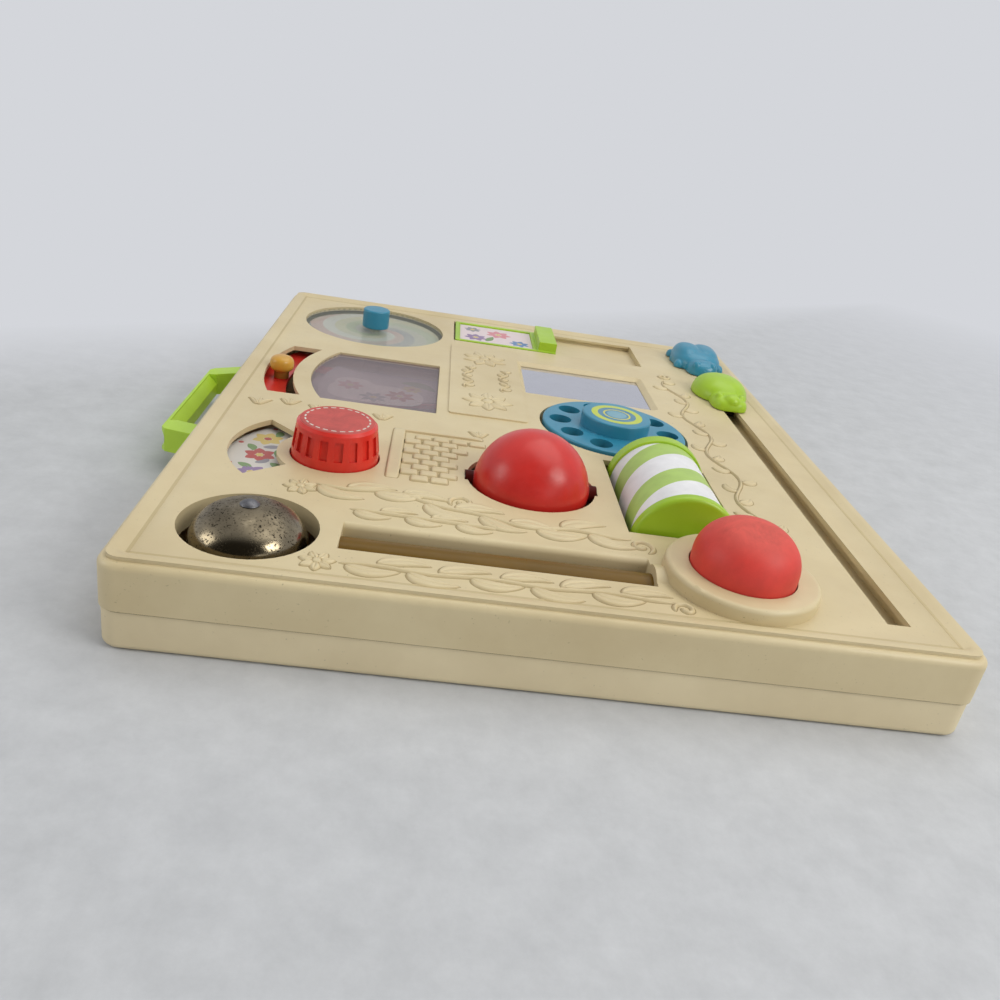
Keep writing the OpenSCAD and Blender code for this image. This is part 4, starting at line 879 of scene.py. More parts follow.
    @staticmethod
    def loop(size: Point, corner: float, low: float, high: float, thick: float) -> Surface:
        """A thin upright band round a rectangle with round corners.

        Each corner is a quarter circle about a point that lies the corner's radius inside both sides.

        Args:
            size: Width and length of the rectangle.
            corner: Radius of its corners.
            low: Level of the band's lower edge.
            high: Level of its upper edge.
            thick: Thickness of the band, inwards.

        Returns:
            The form.
        """
        quarter = np.linspace(0, np.pi / 2, 13)
        angle = np.concatenate([quarter + k * np.pi / 2 for k in range(4)])
        out = np.stack([np.cos(angle), np.sin(angle)], -1)
        spots = np.array([[1, 1], [-1, 1], [-1, -1], [1, -1]]) * (np.array(size) / 2 - corner)
        outer = np.repeat(spots, len(quarter), axis=0) + corner * out
        rows = ((outer, low), (outer, high), (outer - thick * out, high), (outer - thick * out, low))
        points = np.stack([np.column_stack([flat, np.full(len(flat), level)]) for flat, level in rows])
        return Surface.grid(points, True, True)

    @staticmethod
    def tick(
        centre: Point, inner: float, outer: float, angle: float, width: float, rise: float, base: float
    ) -> Surface:
        """A short raised dash that points away from a centre.

        Args:
            centre: The centre.
            inner: Distance of its near end.
            outer: Distance of its far end.
            angle: Direction in degrees.
            width: Width.
            rise: Height.
            base: Level of the face.

        Returns:
            The form.
        """
        a = math.radians(angle)
        middle = (inner + outer) / 2
        place = (centre[0] + middle * math.cos(a), centre[1] + middle * math.sin(a))
        return Form.pad(place, ((outer - inner) / 2, width / 2), rise, base, 4.0, angle)


class Motif:
    """Plain ornaments put together from raised forms."""

    @staticmethod
    def daisy(centre: Point, reach: float, petals: int, rise: float, base: float, turn: float = 0.0) -> list[Surface]:
        """The petals of a daisy.

        Args:
            centre: Middle of the flower.
            reach: Length of a petal from the middle.
            petals: Number of petals.
            rise: Height.
            base: Level of the face.
            turn: Turn in degrees.

        Returns:
            One form for each petal.
        """
        angles = np.radians(turn) + np.arange(petals) * 2 * np.pi / petals
        out = np.stack([np.cos(angles), np.sin(angles)], -1)
        half = 0.8 * reach * math.tan(math.pi / petals) * 0.72
        spot = np.array(centre)
        return [
            Form.leaf(spot + 0.22 * reach * o, spot + 0.6 * reach * o, spot + reach * o, half, rise, base)
            for o in out
        ]

    @staticmethod
    def garland(path: Array, every: int, length: float, half: float, rise: float, base: float) -> list[Surface]:
        """A stem with broad leaves that lie close along it, on alternate sides.

        Args:
            path: Points along the stem.
            every: Number of points between leaves.
            length: Length of a leaf.
            half: Half width of a leaf.
            rise: Height.
            base: Level of the face.

        Returns:
            The stem and its leaves.
        """
        along, side = Form.lead(path)
        forms = [Form.stem(path, 1.0, rise, base)]
        for count, n in enumerate(range(2, len(path) - every, every)):
            out = side[n] if count % 2 else -side[n]
            start = path[n] + 1.2 * out
            bend = path[n] + length * (0.3 * along[n] + 0.38 * out)
            tip = path[n] + length * (0.95 * along[n] + 0.22 * out)
            forms.append(Form.leaf(tuple(start), tuple(bend), tuple(tip), half, rise, base, 7.0))
        return forms

    @staticmethod
    def vine(path: Array, every: int, length: float, half: float, rise: float, base: float) -> list[Surface]:
        """A stem with leaves on alternate sides.

        Args:
            path: Points along the stem.
            every: Number of points between leaves.
            length: Length of a leaf.
            half: Half width of a leaf.
            rise: Height.
            base: Level of the face.

        Returns:
            The stem and its leaves.
        """
        along, side = Form.lead(path)
        forms = [Form.stem(path, 0.75, rise, base)]
        for count, n in enumerate(range(every // 2, len(path) - 2, every)):
            hand = 1 if count % 2 else -1
            start = path[n] + side[n] * hand * 0.4
            tip = path[n] + length * (0.62 * along[n] + 0.78 * hand * side[n])
            bend = path[n] + length * (0.1 * along[n] + 0.62 * hand * side[n])
            forms.append(Form.leaf(tuple(start), tuple(bend), tuple(tip), half, rise, base))
        return forms


class Workshop:
    """Makes finished objects and ties them to the frame.

    Points nearer than merge and edges shorter than sliver, in metres, are joined. Faces within flat degrees of one
    plane become one where edges are rounded. A film of dirt and painted shade is as thick as film, in millimetres.
    """

    merge = 2e-6
    sliver = 1e-7
    flat = 0.6
    film = 0.03

    def __init__(self, frame: dict[str, Any]) -> None:
        """Reads which body and which material slot each node has.
        """
        self.nodes: dict[str, Any] = frame["nodes"]
        record = frame["record"]
        self.slot_of = {s["node"]: s["material_slot"] for s in record["subparts"]}
        bodies = record["behaviour"]["bodies"]
        self.body_of = {node: body for body, nodes in bodies.items() for node in nodes}

    def top(self, node: str) -> float:
        """The highest level of a node, in millimetres."""
        return float(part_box(node)[1][2]) / MM

    def paint(self, finish: Finish, *nodes: str) -> None:
        """Gives nodes of the frame a finish.

        Args:
            finish: The finish.
            *nodes: Names of the nodes.
        """
        for node in nodes:
            slots = self.nodes[node].data.materials
            slots.clear()
            slots.append(Paints.of(finish))
            LOG.info("painted %s with %s", node, finish.name)

    def settle(self, obj: Any, finish: Finish, body: str, stands_for: Sequence[str] = ()) -> Any:
        """Ties a finished object to its body, slot and finish.

        Args:
            obj: The object.
            finish: Its finish.
            body: Body that it moves with.
            stands_for: Nodes that it takes the place of.

        Returns:
            The object.
        """
        obj.data.materials.append(Paints.of(finish))
        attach(obj, body)
        if stands_for:
            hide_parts(*stands_for)
        LOG.info("built %s, %d faces", obj.name, len(obj.data.polygons))
        return obj

    def weld(self, mesh: Any, flat: float = 0.0) -> None:
        """Joins points that coincide, and faces that lie in one plane.

        Args:
            mesh: The mesh to change.
            flat: Greatest angle in degrees between faces that are joined, or 0 to join none.
        """
        made = bmesh.new()
        made.from_mesh(mesh)
        bmesh.ops.remove_doubles(made, verts=made.verts, dist=self.merge)
        bmesh.ops.dissolve_degenerate(made, edges=made.edges, dist=self.sliver)
        if flat:
            limit = math.radians(flat)
            bmesh.ops.dissolve_limit(made, angle_limit=limit, verts=made.verts, edges=made.edges)
        bmesh.ops.recalc_face_normals(made, faces=made.faces)
        made.to_mesh(mesh)
        made.free()

    @staticmethod
    def smooth(mesh: Any, crease: float) -> None:
        """Shades a mesh smoothly up to a crease angle.

        Args:
            mesh: The mesh.
            crease: Angle in degrees past which an edge stays sharp.
        """
        mesh.polygons.foreach_set("use_smooth", np.ones(len(mesh.polygons), bool))
        mesh.set_sharp_from_angle(angle=math.radians(crease))
        mesh.update()

    def piece(
        self,
        name: str,
        forms: Sequence[Surface],
        finish: Finish,
        body: str,
        stands_for: Sequence[str] = (),
        crease: float = 40.0,
    ) -> Any:
        """A new piece from forms.

        Args:
            name: Name of the piece.
            forms: Its forms, in millimetres.
            finish: Its finish.
            body: Body that it moves with.
            stands_for: Nodes that it takes the place of.
            crease: Angle in degrees past which an edge stays sharp.

        Returns:
            The object.
        """
        whole = Surface.joined(forms)
        mesh = bpy.data.meshes.new(name)
        mesh.from_pydata((whole.points * MM).tolist(), [], whole.faces.tolist())
        self.weld(mesh)
        self.smooth(mesh, crease)
        obj = bpy.data.objects.new(name, mesh)
        bpy.context.scene.collection.objects.link(obj)
        return self.settle(obj, finish, body, stands_for)

    def skirt(self, raised: Any, name: str, level: float, grow: float) -> Any:
        """A thin film of dirt and painted shade on a flat face, a little wider than the raised piece that stands there.

        Each point moves out by grow along the flat part of its normal, and down to the face.

        Args:
            raised: The raised piece.
            name: Name of the film.
            level: Level of the face.
            grow: How much wider the film is, in millimetres.

        Returns:
            The object.
        """
        mesh = raised.data.copy()
        mesh.name = name
        mesh.materials.clear()
        points = np.empty(3 * len(mesh.vertices))
        normals = np.empty_like(points)
        mesh.vertices.foreach_get("co", points)
        mesh.vertex_normals.foreach_get("vector", normals)
        points, normals = points.reshape(-1, 3), normals.reshape(-1, 3)
        reach = np.linalg.norm(normals[:, :2], axis=1, keepdims=True)
        out = np.where(reach > 0.25, normals[:, :2] / np.maximum(reach, 1e-6), 0.0)
        points[:, :2] += out * grow * MM
        points[:, 2] = np.minimum(points[:, 2], (level + self.film) * MM)
        mesh.vertices.foreach_set("co", points.ravel())
        mesh.update()
        obj = bpy.data.objects.new(name, mesh)
        bpy.context.scene.collection.objects.link(obj)
        return self.settle(obj, Paints.dirt_and_shade, Body.HOUSING)

    def copy_of(self, node: str, name: str, flat: float = 0.0) -> Any:
        """A welded copy of a node that may be changed.

        Args:
            node: Name of the node.
            name: Name of the copy.
            flat: Greatest angle in degrees between faces that are joined.

        Returns:
            The object, not yet tied to the frame.
        """
        mesh = bpy.data.meshes.new(name)
        source = bmesh.new()
        source.from_mesh(self.nodes[node].data)
        source.to_mesh(mesh)
        source.free()
        extra = [a.name for a in mesh.attributes if a.name == "custom_normal"]
        for attribute in extra:
            mesh.attributes.remove(mesh.attributes[attribute])
        self.weld(mesh, flat)
        obj = bpy.data.objects.new(name, mesh)
        bpy.context.scene.collection.objects.link(obj)
        return obj

    def soften(self, node: str, name: str, finish: Finish, width: float, crease: float = 32.0, steps: int = 2) -> Any:
        """A copy of a node with its sharp edges rounded, in the node's place.

        Args:
            node: Name of the node.
            name: Name of the piece.
            finish: Its finish.
            width: Width of the rounding in millimetres, or 0 for none.
            crease: Angle in degrees past which an edge is rounded.
            steps: Number of faces across the rounding.

        Returns:
            The object.
        """
        obj = self.copy_of(node, name, self.flat if width else 0.0)
        self.smooth(obj.data, crease)
        if width:
            bevel = obj.modifiers.new("rounding", "BEVEL")
            bevel.width = width * MM
            bevel.segments = steps
            bevel.limit_method = "ANGLE"
            bevel.angle_limit = math.radians(crease)
            bevel.harden_normals = True
            bevel.use_clamp_overlap = True
        return self.settle(obj, finish, self.body_of[node], [node])

    def melt(self, node: str, name: str, forms: Sequence[Surface], finish: Finish, grain: float, passes: int) -> Any:
        """A piece whose joined forms flow into each other, in a node's place.

        Args:
            node: Name of the node.
            name: Name of the piece.
            forms: Its forms, in millimetres.
            finish: Its finish.
            grain: Size of the new faces in millimetres.
            passes: Rounds of smoothing.

        Returns:
            The object.
        """
        obj = self.piece(name, forms, finish, self.body_of[node], [node])
        remesh = obj.modifiers.new("even faces", "REMESH")
        remesh.mode = "VOXEL"
        remesh.voxel_size = grain * MM
        remesh.use_smooth_shade = True
        flow = obj.modifiers.new("flow", "SMOOTH")
        flow.factor = 0.5
        flow.iterations = passes
        return obj


class SubAssembly(ABC):
    """A group of pieces that belong together."""

    @abstractmethod
    def build(self, shop: Workshop) -> None:
        """Makes the group's own pieces.

        Args:
            shop: The workshop that makes them.
        """

    @abstractmethod
    def dress(self, shop: Workshop) -> None:
        """Gives finishes to the nodes that stay.

        Args:
            shop: The workshop.
        """


@dataclass
class Case(SubAssembly):
    """The two shells, the screws and the carrying handle."""

    size: Point = (313.0, 392.0)
    corner: float = 8.0
    seam: float = 16.0
    panel: float = 34.0
    rim: float = 8.2
    seam_inset: float = 0.4
    seam_tall: float = 0.4
    seam_deep: float = 0.8
    rim_corner: float = 1.3
    rim_sunk: float = 0.1
    rim_proud: float = 0.05
    rim_wide: float = 1.5
    shell_edge: float = 0.5
    cover_edge: float = 0.4
    handle_edge: float = 1.2

    def build(self, shop: Workshop) -> None:
        """Makes the shells and the handle with rounded edges, and the lines of the seam and the rim.

        Args:
            shop: The workshop that makes them.
        """
        shop.soften("front_shell", "shell_front", Paints.cream, self.shell_edge)
        # the cover's paint is the case's cream made paler: painted light on its walls
        shop.soften("back_cover", "shell_back", Paints.cover, self.cover_edge)
        # the handle's paint is the lime made paler: painted light
        shop.soften("carry_handle", "handle_grip", Paints.lit_grip, self.handle_edge, 25.0, 3)
        # a dark band in the seam between the shells: dirt and painted shade of the gap
        inner = (self.size[0] - 2 * self.seam_inset, self.size[1] - 2 * self.seam_inset)
        line = Form.loop(
            inner, self.corner - self.seam_inset, self.seam - self.seam_tall, self.seam, self.seam_deep
        )
        shop.piece("seam_line", [line], Paints.seam, Body.HOUSING)
        # a darker strip at the inner foot of the rim: dirt and painted shade
        inner = (self.size[0] - 2 * self.rim, self.size[1] - 2 * self.rim)
        low, high = self.panel - self.rim_sunk, self.panel + self.rim_proud
        line = Form.loop(inner, self.rim_corner, low, high, self.rim_wide)
        shop.piece("rim_line", [line], Paints.rim, Body.HOUSING)

    def dress(self, shop: Workshop) -> None:
        """Gives the screws their finish.

        Args:
            shop: The workshop.
        """
        shop.paint(Paints.steel, "case_screws")


@dataclass
class PanelRelief(SubAssembly):
    """Raised ornament on the panel: garlands, a brick patch, a branch, and plain emblems on the plate."""

    panel: float = 34.0
    plate: float = 34.8
    rise: float = 0.95
    # how far the film of dirt and painted shade reaches past the ornament, in millimetres
    dirt_and_shade: float = 0.45

    def build(self, shop: Workshop) -> None:
        """Makes the ornament.

        Args:
            shop: The workshop that makes it.
        """
        for name, forms in (
            ("relief_near_garland", self.near_garland()),
            ("relief_far_garland", self.far_garland()),
            ("relief_bricks", self.bricks()),
            ("relief_branch", self.branch()),
            ("relief_tufts", self.tufts()),
            ("relief_emblem", self.emblem()),
        ):
            raised = shop.piece(name, forms, Paints.cream, Body.HOUSING, crease=50.0)
            level = self.plate if name == "relief_emblem" else self.panel
            # a darker film round the foot of each piece: dirt and painted shade
            shop.skirt(raised, name.replace("relief", "dirt_and_shade"), level, self.dirt_and_shade)

    def rosette(self, centre: Point, reach: float, turn: float) -> list[Surface]:
        """A round flower with a button in its middle.

        Args:
            centre: Middle of the flower.
            reach: Length of a petal from the middle.
            turn: Turn in degrees.

        Returns:
            The petals and the button.
        """
        forms = Motif.daisy(centre, reach, 7, self.rise, self.panel, turn)
        forms.append(Form.pad(centre, (0.26 * reach, 0.26 * reach), 1.1 * self.rise, self.panel, 2.0))
        return forms

    def near_garland(self) -> list[Surface]:
        """The garland between the tube's slot and the near edge.

        Returns:
            The forms.
        """
        x = np.linspace(-79, 42, 122)
        path = np.stack([x, -178.0 + 0.8 * np.sin((x + 79) * 2 * np.pi / 42)], -1)
        forms = Motif.garland(path, 11, 20.0, 3.3, self.rise, self.panel)
        forms += self.rosette((-86.6, -178.6), 6.6, 12)
        forms.append(Form.curl((44.6, -182.4), 4.4, 1.3, 95, 0.9, self.rise, self.panel))
        return forms

    def far_garland(self) -> list[Surface]:
        """The garland between the tube's slot and the knob and ball, with a second row below the knob.

        Returns:
            The forms.
        """
        x = np.linspace(-96, 33, 130)
        drop = np.clip((x + 70) / 60, 0, 1)
        path = np.stack([x, -117 - 14.5 * drop**2 * (3 - 2 * drop) + 1.4 * np.sin(x * 2 * np.pi / 37)], -1)
        forms = Motif.garland(path, 11, 21.0, 3.9, self.rise, self.panel)
        forms += self.rosette((-101.5, -121.0), 7.0, 30)
        low = np.linspace(-80, -22, 59)
        forms += Motif.garland(np.stack([low, -135.5 - 0.04 * (low + 80)], -1), 10, 15.0, 2.9, self.rise, self.panel)
        for spot, turns in (((-36, -117.5), 1.4), ((36.5, -137.5), -1.4)):
            forms.append(Form.curl(spot, 5.6, turns, 75, 0.9, self.rise, self.panel))
        return forms

    def bricks(self) -> list[Surface]:
        """A patch of bricks and two planks between the knob and the ball.

        Returns:
            The forms.
        """
        forms = []
        for row in range(9):
            shift = -2.4 if row % 2 else 2.4
            y = -99.5 + row * 5.9
            for column in range(4 - row % 2):
                x = -57 + column * 8.6 + shift
                if math.hypot(x + 5, y + 87.6) > 37:
                    forms.append(Form.pad((x, y), (3.8, 2.5), self.rise, self.panel, 9.0, 0.0, 18.0))
        forms.append(Form.pad((-66.4, -72), (2.9, 29), self.rise, self.panel, 12.0, 0.0, 24.0))
        forms.append(Form.pad((-46, -44.6), (20, 1.6), self.rise, self.panel, 10.0, 0.0, 18.0))
        return forms

    def branch(self) -> list[Surface]:
        """The winding branch between the middle toys and the track.

        Returns:
            The forms.
        """
        y = np.linspace(-112, 104, 220)
        path = np.stack([98 + 4.5 * np.sin(y * 2 * np.pi / 58 + 0.8), y], -1)
        forms = Motif.vine(path, 13, 9.5, 2.8, self.rise, self.panel)
        forms.append(Form.curl((97, 112), 4.6, 1.6, 200, 0.8, self.rise, self.panel))
        return forms

    def tufts(self) -> list[Surface]:
        """Small tufts of grass round the knob.

        Returns:
            The forms.
        """
        forms = []
        for x, y, size in ((-136, -36, 9.0), (-122, -31, 8.0), (-108, -34, 7.5), (-76, -35, 8.0), (-28, -42, 8.0)):
            for lean in (-0.5, 0.0, 0.5):
                tip = (x + size * lean * 1.3, y + size * (1 - 0.3 * abs(lean)))
                bend = (x + size * lean * 0.3, y + size * 0.6)
                forms.append(Form.leaf((x + lean * 1.6, y), bend, tip, 1.5, self.rise, self.panel, 5.0))
        return forms

    def emblem(self) -> list[Surface]:
        """Two daisies and two wavy lines on the raised plate.

        Returns:
            The forms.
        """
        forms = []
        for y, turn in ((12, 0), (92, 22.5)):
            forms += Motif.daisy((-22.3, y), 14, 8, self.rise, self.plate, turn)
            forms.append(Form.pad((-22.3, y), (3.2, 3.2), self.rise, self.plate, 2.0))
        y = np.linspace(32, 72, 70)
        for x in (-33, -11.6):
            path = np.stack([x + 2.4 * np.sin(y * 2 * np.pi / 20), y], -1)
            forms += Motif.vine(path, 14, 6.5, 1.9, self.rise, self.plate)
        return forms

    def dress(self, shop: Workshop) -> None:
        """Leaves the nodes as they are; this group has none."""


@dataclass
class BellStriker(SubAssembly):
    """The bell, and the tube with its striker."""

    centre: Point = (-114.0, -158.0)
    radius: float = 21.6
    rim: float = 18.4
    spring: float = 28.4
    crown: float = 42.4
    sheet: float = 1.2

    def build(self, shop: Workshop) -> None:
        """Makes the bell: a straight skirt with a small lip, under half an ellipse.

        Args:
            shop: The workshop that makes it.
        """
        lip = np.array([[0.5, 0.0], [0.62, 0.35], [0.4, 0.9], [0.0, 1.6]]) + [self.radius - 0.6, self.rim]
        a = np.linspace(0, np.pi / 2, 40)
        wide, tall = self.radius - 0.3, self.crown - self.spring
        dome = np.stack([wide * np.cos(a), self.spring + tall * np.sin(a)], -1)
        inner = np.stack([(wide - self.sheet) * np.cos(a), self.spring + (tall - self.sheet) * np.sin(a)], -1)[::-1]
        foot = np.array([[wide - self.sheet, self.rim + 1.6], [self.radius - 0.9, self.rim]])
        profile = np.concatenate([dome[::-1], lip[::-1], foot[::-1], inner[::-1]])
        shop.piece(
            "bell_cup",
            [Form.turned(profile, self.centre, 128)],
            Paints.chrome,
            Body.HOUSING,
            ["bell_dome"],
        )

    def dress(self, shop: Workshop) -> None:
        """Gives the striker's nodes their finishes.

        Args:
            shop: The workshop.
        """
        shop.paint(Paints.rivet, "bell_rivet")
        shop.paint(Paints.steel, "hammer_rod")
        shop.paint(Paints.cream, "bell_post", "tube_trough")
        shop.paint(Paints.amber, "striker_tube")
        shop.paint(Paints.dark, "tube_end_cap")
        shop.paint(Paints.red, "striker_body")


@dataclass
class SqueezeBulb(SubAssembly):
    """The soft bulb in its collar."""

    centre: Point = (71.5, -157.2)
    radius: float = 20.5
    foot: float = 29.0
    flange: float = 24.2
    flange_tall: float = 2.0
    fillet: float = 0.2
    side: float = 38.0
    shoulder: float = 43.0
    crown: float = 60.0
    power: float = 2.15

    def build(self, shop: Workshop) -> None:
        """Makes the bulb: a straight side under a cap whose outline is |r / R|^p + |h / H|^p = 1.

        Args:
            shop: The workshop that makes it.
        """
        a = np.linspace(0, np.pi / 2, 40)
        share = 2 / self.power
        tall = self.crown - self.shoulder
        cap = np.stack([self.radius * np.cos(a) ** share, self.shoulder + tall * np.sin(a) ** share], -1)
        cap[-1, 0] = 0.0
        foot = np.array(
            [
                [0, self.foot],
                [self.flange, self.foot],
                [self.flange, self.foot + self.flange_tall],
                [self.radius, self.foot + self.flange_tall + self.fillet],
                [self.radius, self.side],
            ]
        )
        form = Form.turned(np.concatenate([foot, cap]), self.centre, 112)
        # the skin's paint is paler near the crown: painted highlight
        shop.piece("bulb_skin", [form], Paints.bulb, Body.BULB, ["squeeze_bulb"])

    def dress(self, shop: Workshop) -> None:
        """Gives the seat and the reed their finishes.

        Args:
            shop: The workshop.
        """
        shop.paint(Paints.white, "bulb_seat", "squeak_reed")


@dataclass
class PrintSet:
    """Inks of the printed pictures, each with its forms."""

    body: str
    slot: str
    name: str
    forms: dict[str, list[Surface]] = field(default_factory=dict)

    inks = {
        "green": PrintInk("ink_green", srgb(116, 146, 92)),
        "blue": PrintInk("ink_blue", srgb(92, 130, 176)),
        "pink": PrintInk("ink_pink", srgb(210, 136, 144)),
        "red": PrintInk("ink_red", srgb(178, 82, 76)),
        "yellow": PrintInk("ink_yellow", srgb(208, 186, 108)),
        "violet": PrintInk("ink_violet", srgb(140, 116, 156)),
        "grey": PrintInk("ink_grey", srgb(142, 140, 146)),
        "pale": PrintInk("ink_pale", srgb(240, 226, 222)),
    }

    def add(self, ink: str, *forms: Surface) -> None:
        """Adds forms in one ink."""
        self.forms.setdefault(ink, []).extend(forms)

    def flower(
        self,
        ink: str,
        spot: Point,
        reach: float,
        petals: int,
        heart: float,
        level: float,
        turn: float,
        rises: Point = (INK, INK),
    ) -> None:
        """Adds a flower whose round middle has another ink.

        Args:
            ink: Ink of the petals.
            spot: Middle of the flower.
            reach: Length of a petal from the middle.
            petals: Number of petals.
            heart: Radius of the round middle.
            level: Level of the face.
            turn: Turn in degrees.
            rises: Heights of the petals and of the middle.
        """
        self.add(ink, *Motif.daisy(spot, reach, petals, rises[0], level, turn))
        self.add("red" if ink == "yellow" else "yellow", Form.pad(spot, (heart, heart), rises[1], level, 2.0))

    def build(self, shop: Workshop) -> None:
        """Makes one thin piece for each ink.

        Args:
            shop: The workshop that makes them.
        """
        for ink, forms in self.forms.items():
            shop.piece(f"{self.name}_{ink}", forms, self.inks[ink], self.body, crease=70.0)


@dataclass
class PictureKnob(SubAssembly):
    """The fluted knob, and the printed disc behind the fan window."""

    centre: Point = (-92.4, -84.4)
    edge: float = 0.35
    ring: float = 35.0
    ticks: int = 24
    tick_ends: Point = (13.5, 14.3)
    tick_wide: float = 2.3
    petal: float = 7.2

    def build(self, shop: Workshop) -> None:
        """Makes the knob, its ring of dashes and the disc's print.

        Args:
            shop: The workshop that makes them.
        """
        shop.soften("picture_knob", "knob_cap", Paints.knob, self.edge)
        level = shop.top("picture_knob")
        spread = np.linspace(0, 360, self.ticks, endpoint=False)
        dashes = [Form.tick(self.centre, *self.tick_ends, a, self.tick_wide, INK, level) for a in spread]
        shop.piece("knob_dashes", dashes, Paints.white, Body.TURNER, crease=70.0)
        self.print_disc(shop.top("picture_disc")).build(shop)

    def print_disc(self, level: float) -> PrintSet:
        """The print: daisies, leaves and dots round the disc.

        Args:
            level: Level of the disc's face.

        Returns:
            The print.
        """
        art = PrintSet(Body.TURNER, "disc_print", "disc_art")
        inks = ("blue", "red", "violet", "pink", "blue", "yellow", "red", "violet", "blue", "pink", "red", "yellow")
        for n, ink in enumerate(inks):
            a = 2 * math.pi * n / len(inks)
            reach = self.ring - 2.5 + 5 * (n % 2)
            spot = (self.centre[0] + reach * math.cos(a), self.centre[1] + reach * math.sin(a))
            art.flower(ink, spot, self.petal, 6, 1.7, level, n * 17.0)
            b = a + math.pi / len(inks)
            for far, lean, ink_two in ((27.5, 0.4, "green"), (41.0, 0.7, "green"), (34.0, 2.2, "grey")):
                start = (self.centre[0] + far * math.cos(b), self.centre[1] + far * math.sin(b))
                tip = (start[0] - 7.5 * math.sin(b + lean), start[1] + 7.5 * math.cos(b + lean))
                bend = ((start[0] + tip[0]) / 2 + 2, (start[1] + tip[1]) / 2)
                art.add(ink_two, Form.leaf(start, bend, tip, 2.0, INK, level))
            dot = (self.centre[0] + 44.5 * math.cos(b), self.centre[1] + 44.5 * math.sin(b))
            art.add("red", Form.pad(dot, (1.2, 1.2), INK, level, 2.0))
        return art

    def dress(self, shop: Workshop) -> None:
        """Gives the disc, its clip and its spindle their finishes.

        Args:
            shop: The workshop.
        """
        shop.paint(PrintInk("disc_card", srgb(206, 202, 194)), "picture_disc")
        shop.paint(Paints.white, "knob_clip", "knob_spindle")


@dataclass
class LeverPicture(SubAssembly):
    """The lever in its curved slot, and the pictures that it moves behind the tinted window."""

    pivot: Point = (-28.0, 26.0)
    reach: float = 107.5
    knob_r: float = 6.4
    knob_foot: float = 31.3
    power: float = 2.8
    edge: float = 0.3
    groove: float = 0.3
    layers: tuple[float, float, float] = (0.03, 0.06, 0.07)

    def build(self, shop: Workshop) -> None:
        """Makes the lever plate, its barrel-shaped knob and the pictures.

        Args:
            shop: The workshop that makes them.
        """
        # the lever's paint darkens the neck under the knob: painted shade
        shop.soften("lever_arm", "lever_plate", Paints.lever, self.edge)
        shop.soften("picture_window", "picture_pane", Paints.tinted, self.groove)
        top = shop.top("lever_knob")
        middle, tall = (self.knob_foot + top) / 2, (top - self.knob_foot) / 2
        a = np.linspace(-np.pi / 2, np.pi / 2, 61)
        share = 2 / self.power
        wide = self.knob_r * np.abs(np.cos(a)) ** share
        wide[[0, -1]] = 0.0
        profile = np.stack([wide, middle + tall * np.sign(a) * np.abs(np.sin(a)) ** share], -1)
        knob = Form.turned(profile, (self.pivot[0] - self.reach, self.pivot[1]), 80)
        shop.piece("lever_grip", [knob], Paints.ochre, Body.LEVER, ["lever_knob"])
        self.card_print(shop.top("lever_card")).build(shop)
        self.back_print(shop.top("picture_backdrop")).build(shop)

    def card_print(self, level: float) -> PrintSet:
        """The print on the card that the lever swings.

        Args:
            level: Level of the card's face.

        Returns:
            The print.
        """
        art = PrintSet(Body.LEVER, "picture_print", "card_art")
        ground, petals, hearts = self.layers
        art.add("pale", Form.pad((-83, 19), (26, 15), ground, level, 3.0))
        art.add("pale", Form.pad((-96, 32), (11, 9), ground, level, 2.0))
        flowers = ((-98, 28, 8, "pink"), (-70, 20, 9, "red"), (-84, 13, 8, "grey"), (-64, 34, 6, "yellow"))
        for x, y, size, ink in flowers:
            art.flower(ink, (x, y), size, 7, 2.0, level, x, (petals, hearts))
        return art

    def back_print(self, level: float) -> PrintSet:
        """The print behind the card: hills and clouds.

        Args:
            level: Level of the backdrop's face.

        Returns:
            The print.
        """
        art = PrintSet(Body.HOUSING, "picture_print", "back_art")
        for ink, spot, half in (
            ("green", (-66, 4), (14, 16)),
            ("green", (-62, 46), (12, 17)),
            ("blue", (-104, 16), (9, 14)),
            ("blue", (-106, 44), (7, 11)),
        ):
            art.add(ink, Form.pad(spot, half, INK, level, 2.0))
        return art

    def dress(self, shop: Workshop) -> None:
        """Gives the cards and the pin their finishes.

        Args:
            shop: The workshop.
        """
        shop.paint(PrintInk("picture_card", srgb(190, 174, 176)), "lever_card", "picture_backdrop")
        shop.paint(Paints.steel, "lever_pivot")


@dataclass
class Spinner(SubAssembly):
    """The swirling disc under its clear cover."""

    centre: Point = (-94.3, 136.9)
    edge: float = 0.9
    groove: float = 0.3

    def build(self, shop: Workshop) -> None:
        """Makes the knob and the cover with round edges.

        Args:
            shop: The workshop that makes them.
        """
        shop.soften("spinner_knob", "spinner_grip", Paints.blue, self.edge, 25.0, 3)
        shop.soften("spinner_window", "spinner_cover", Paints.clear, self.groove)

    def dress(self, shop: Workshop) -> None:
        """Gives the disc and the shaft their finishes.

        Args:
            shop: The workshop.
        """
        arms = (
            srgb(196, 206, 168),
            srgb(226, 220, 184),
            srgb(232, 230, 226),
            srgb(224, 186, 182),
            srgb(172, 170, 180),
            srgb(214, 208, 196),
        )
        shop.paint(SwirlPrint("swirl_card", self.centre, arms), "spinner_disc")
        shop.paint(Paints.white, "spinner_shaft")


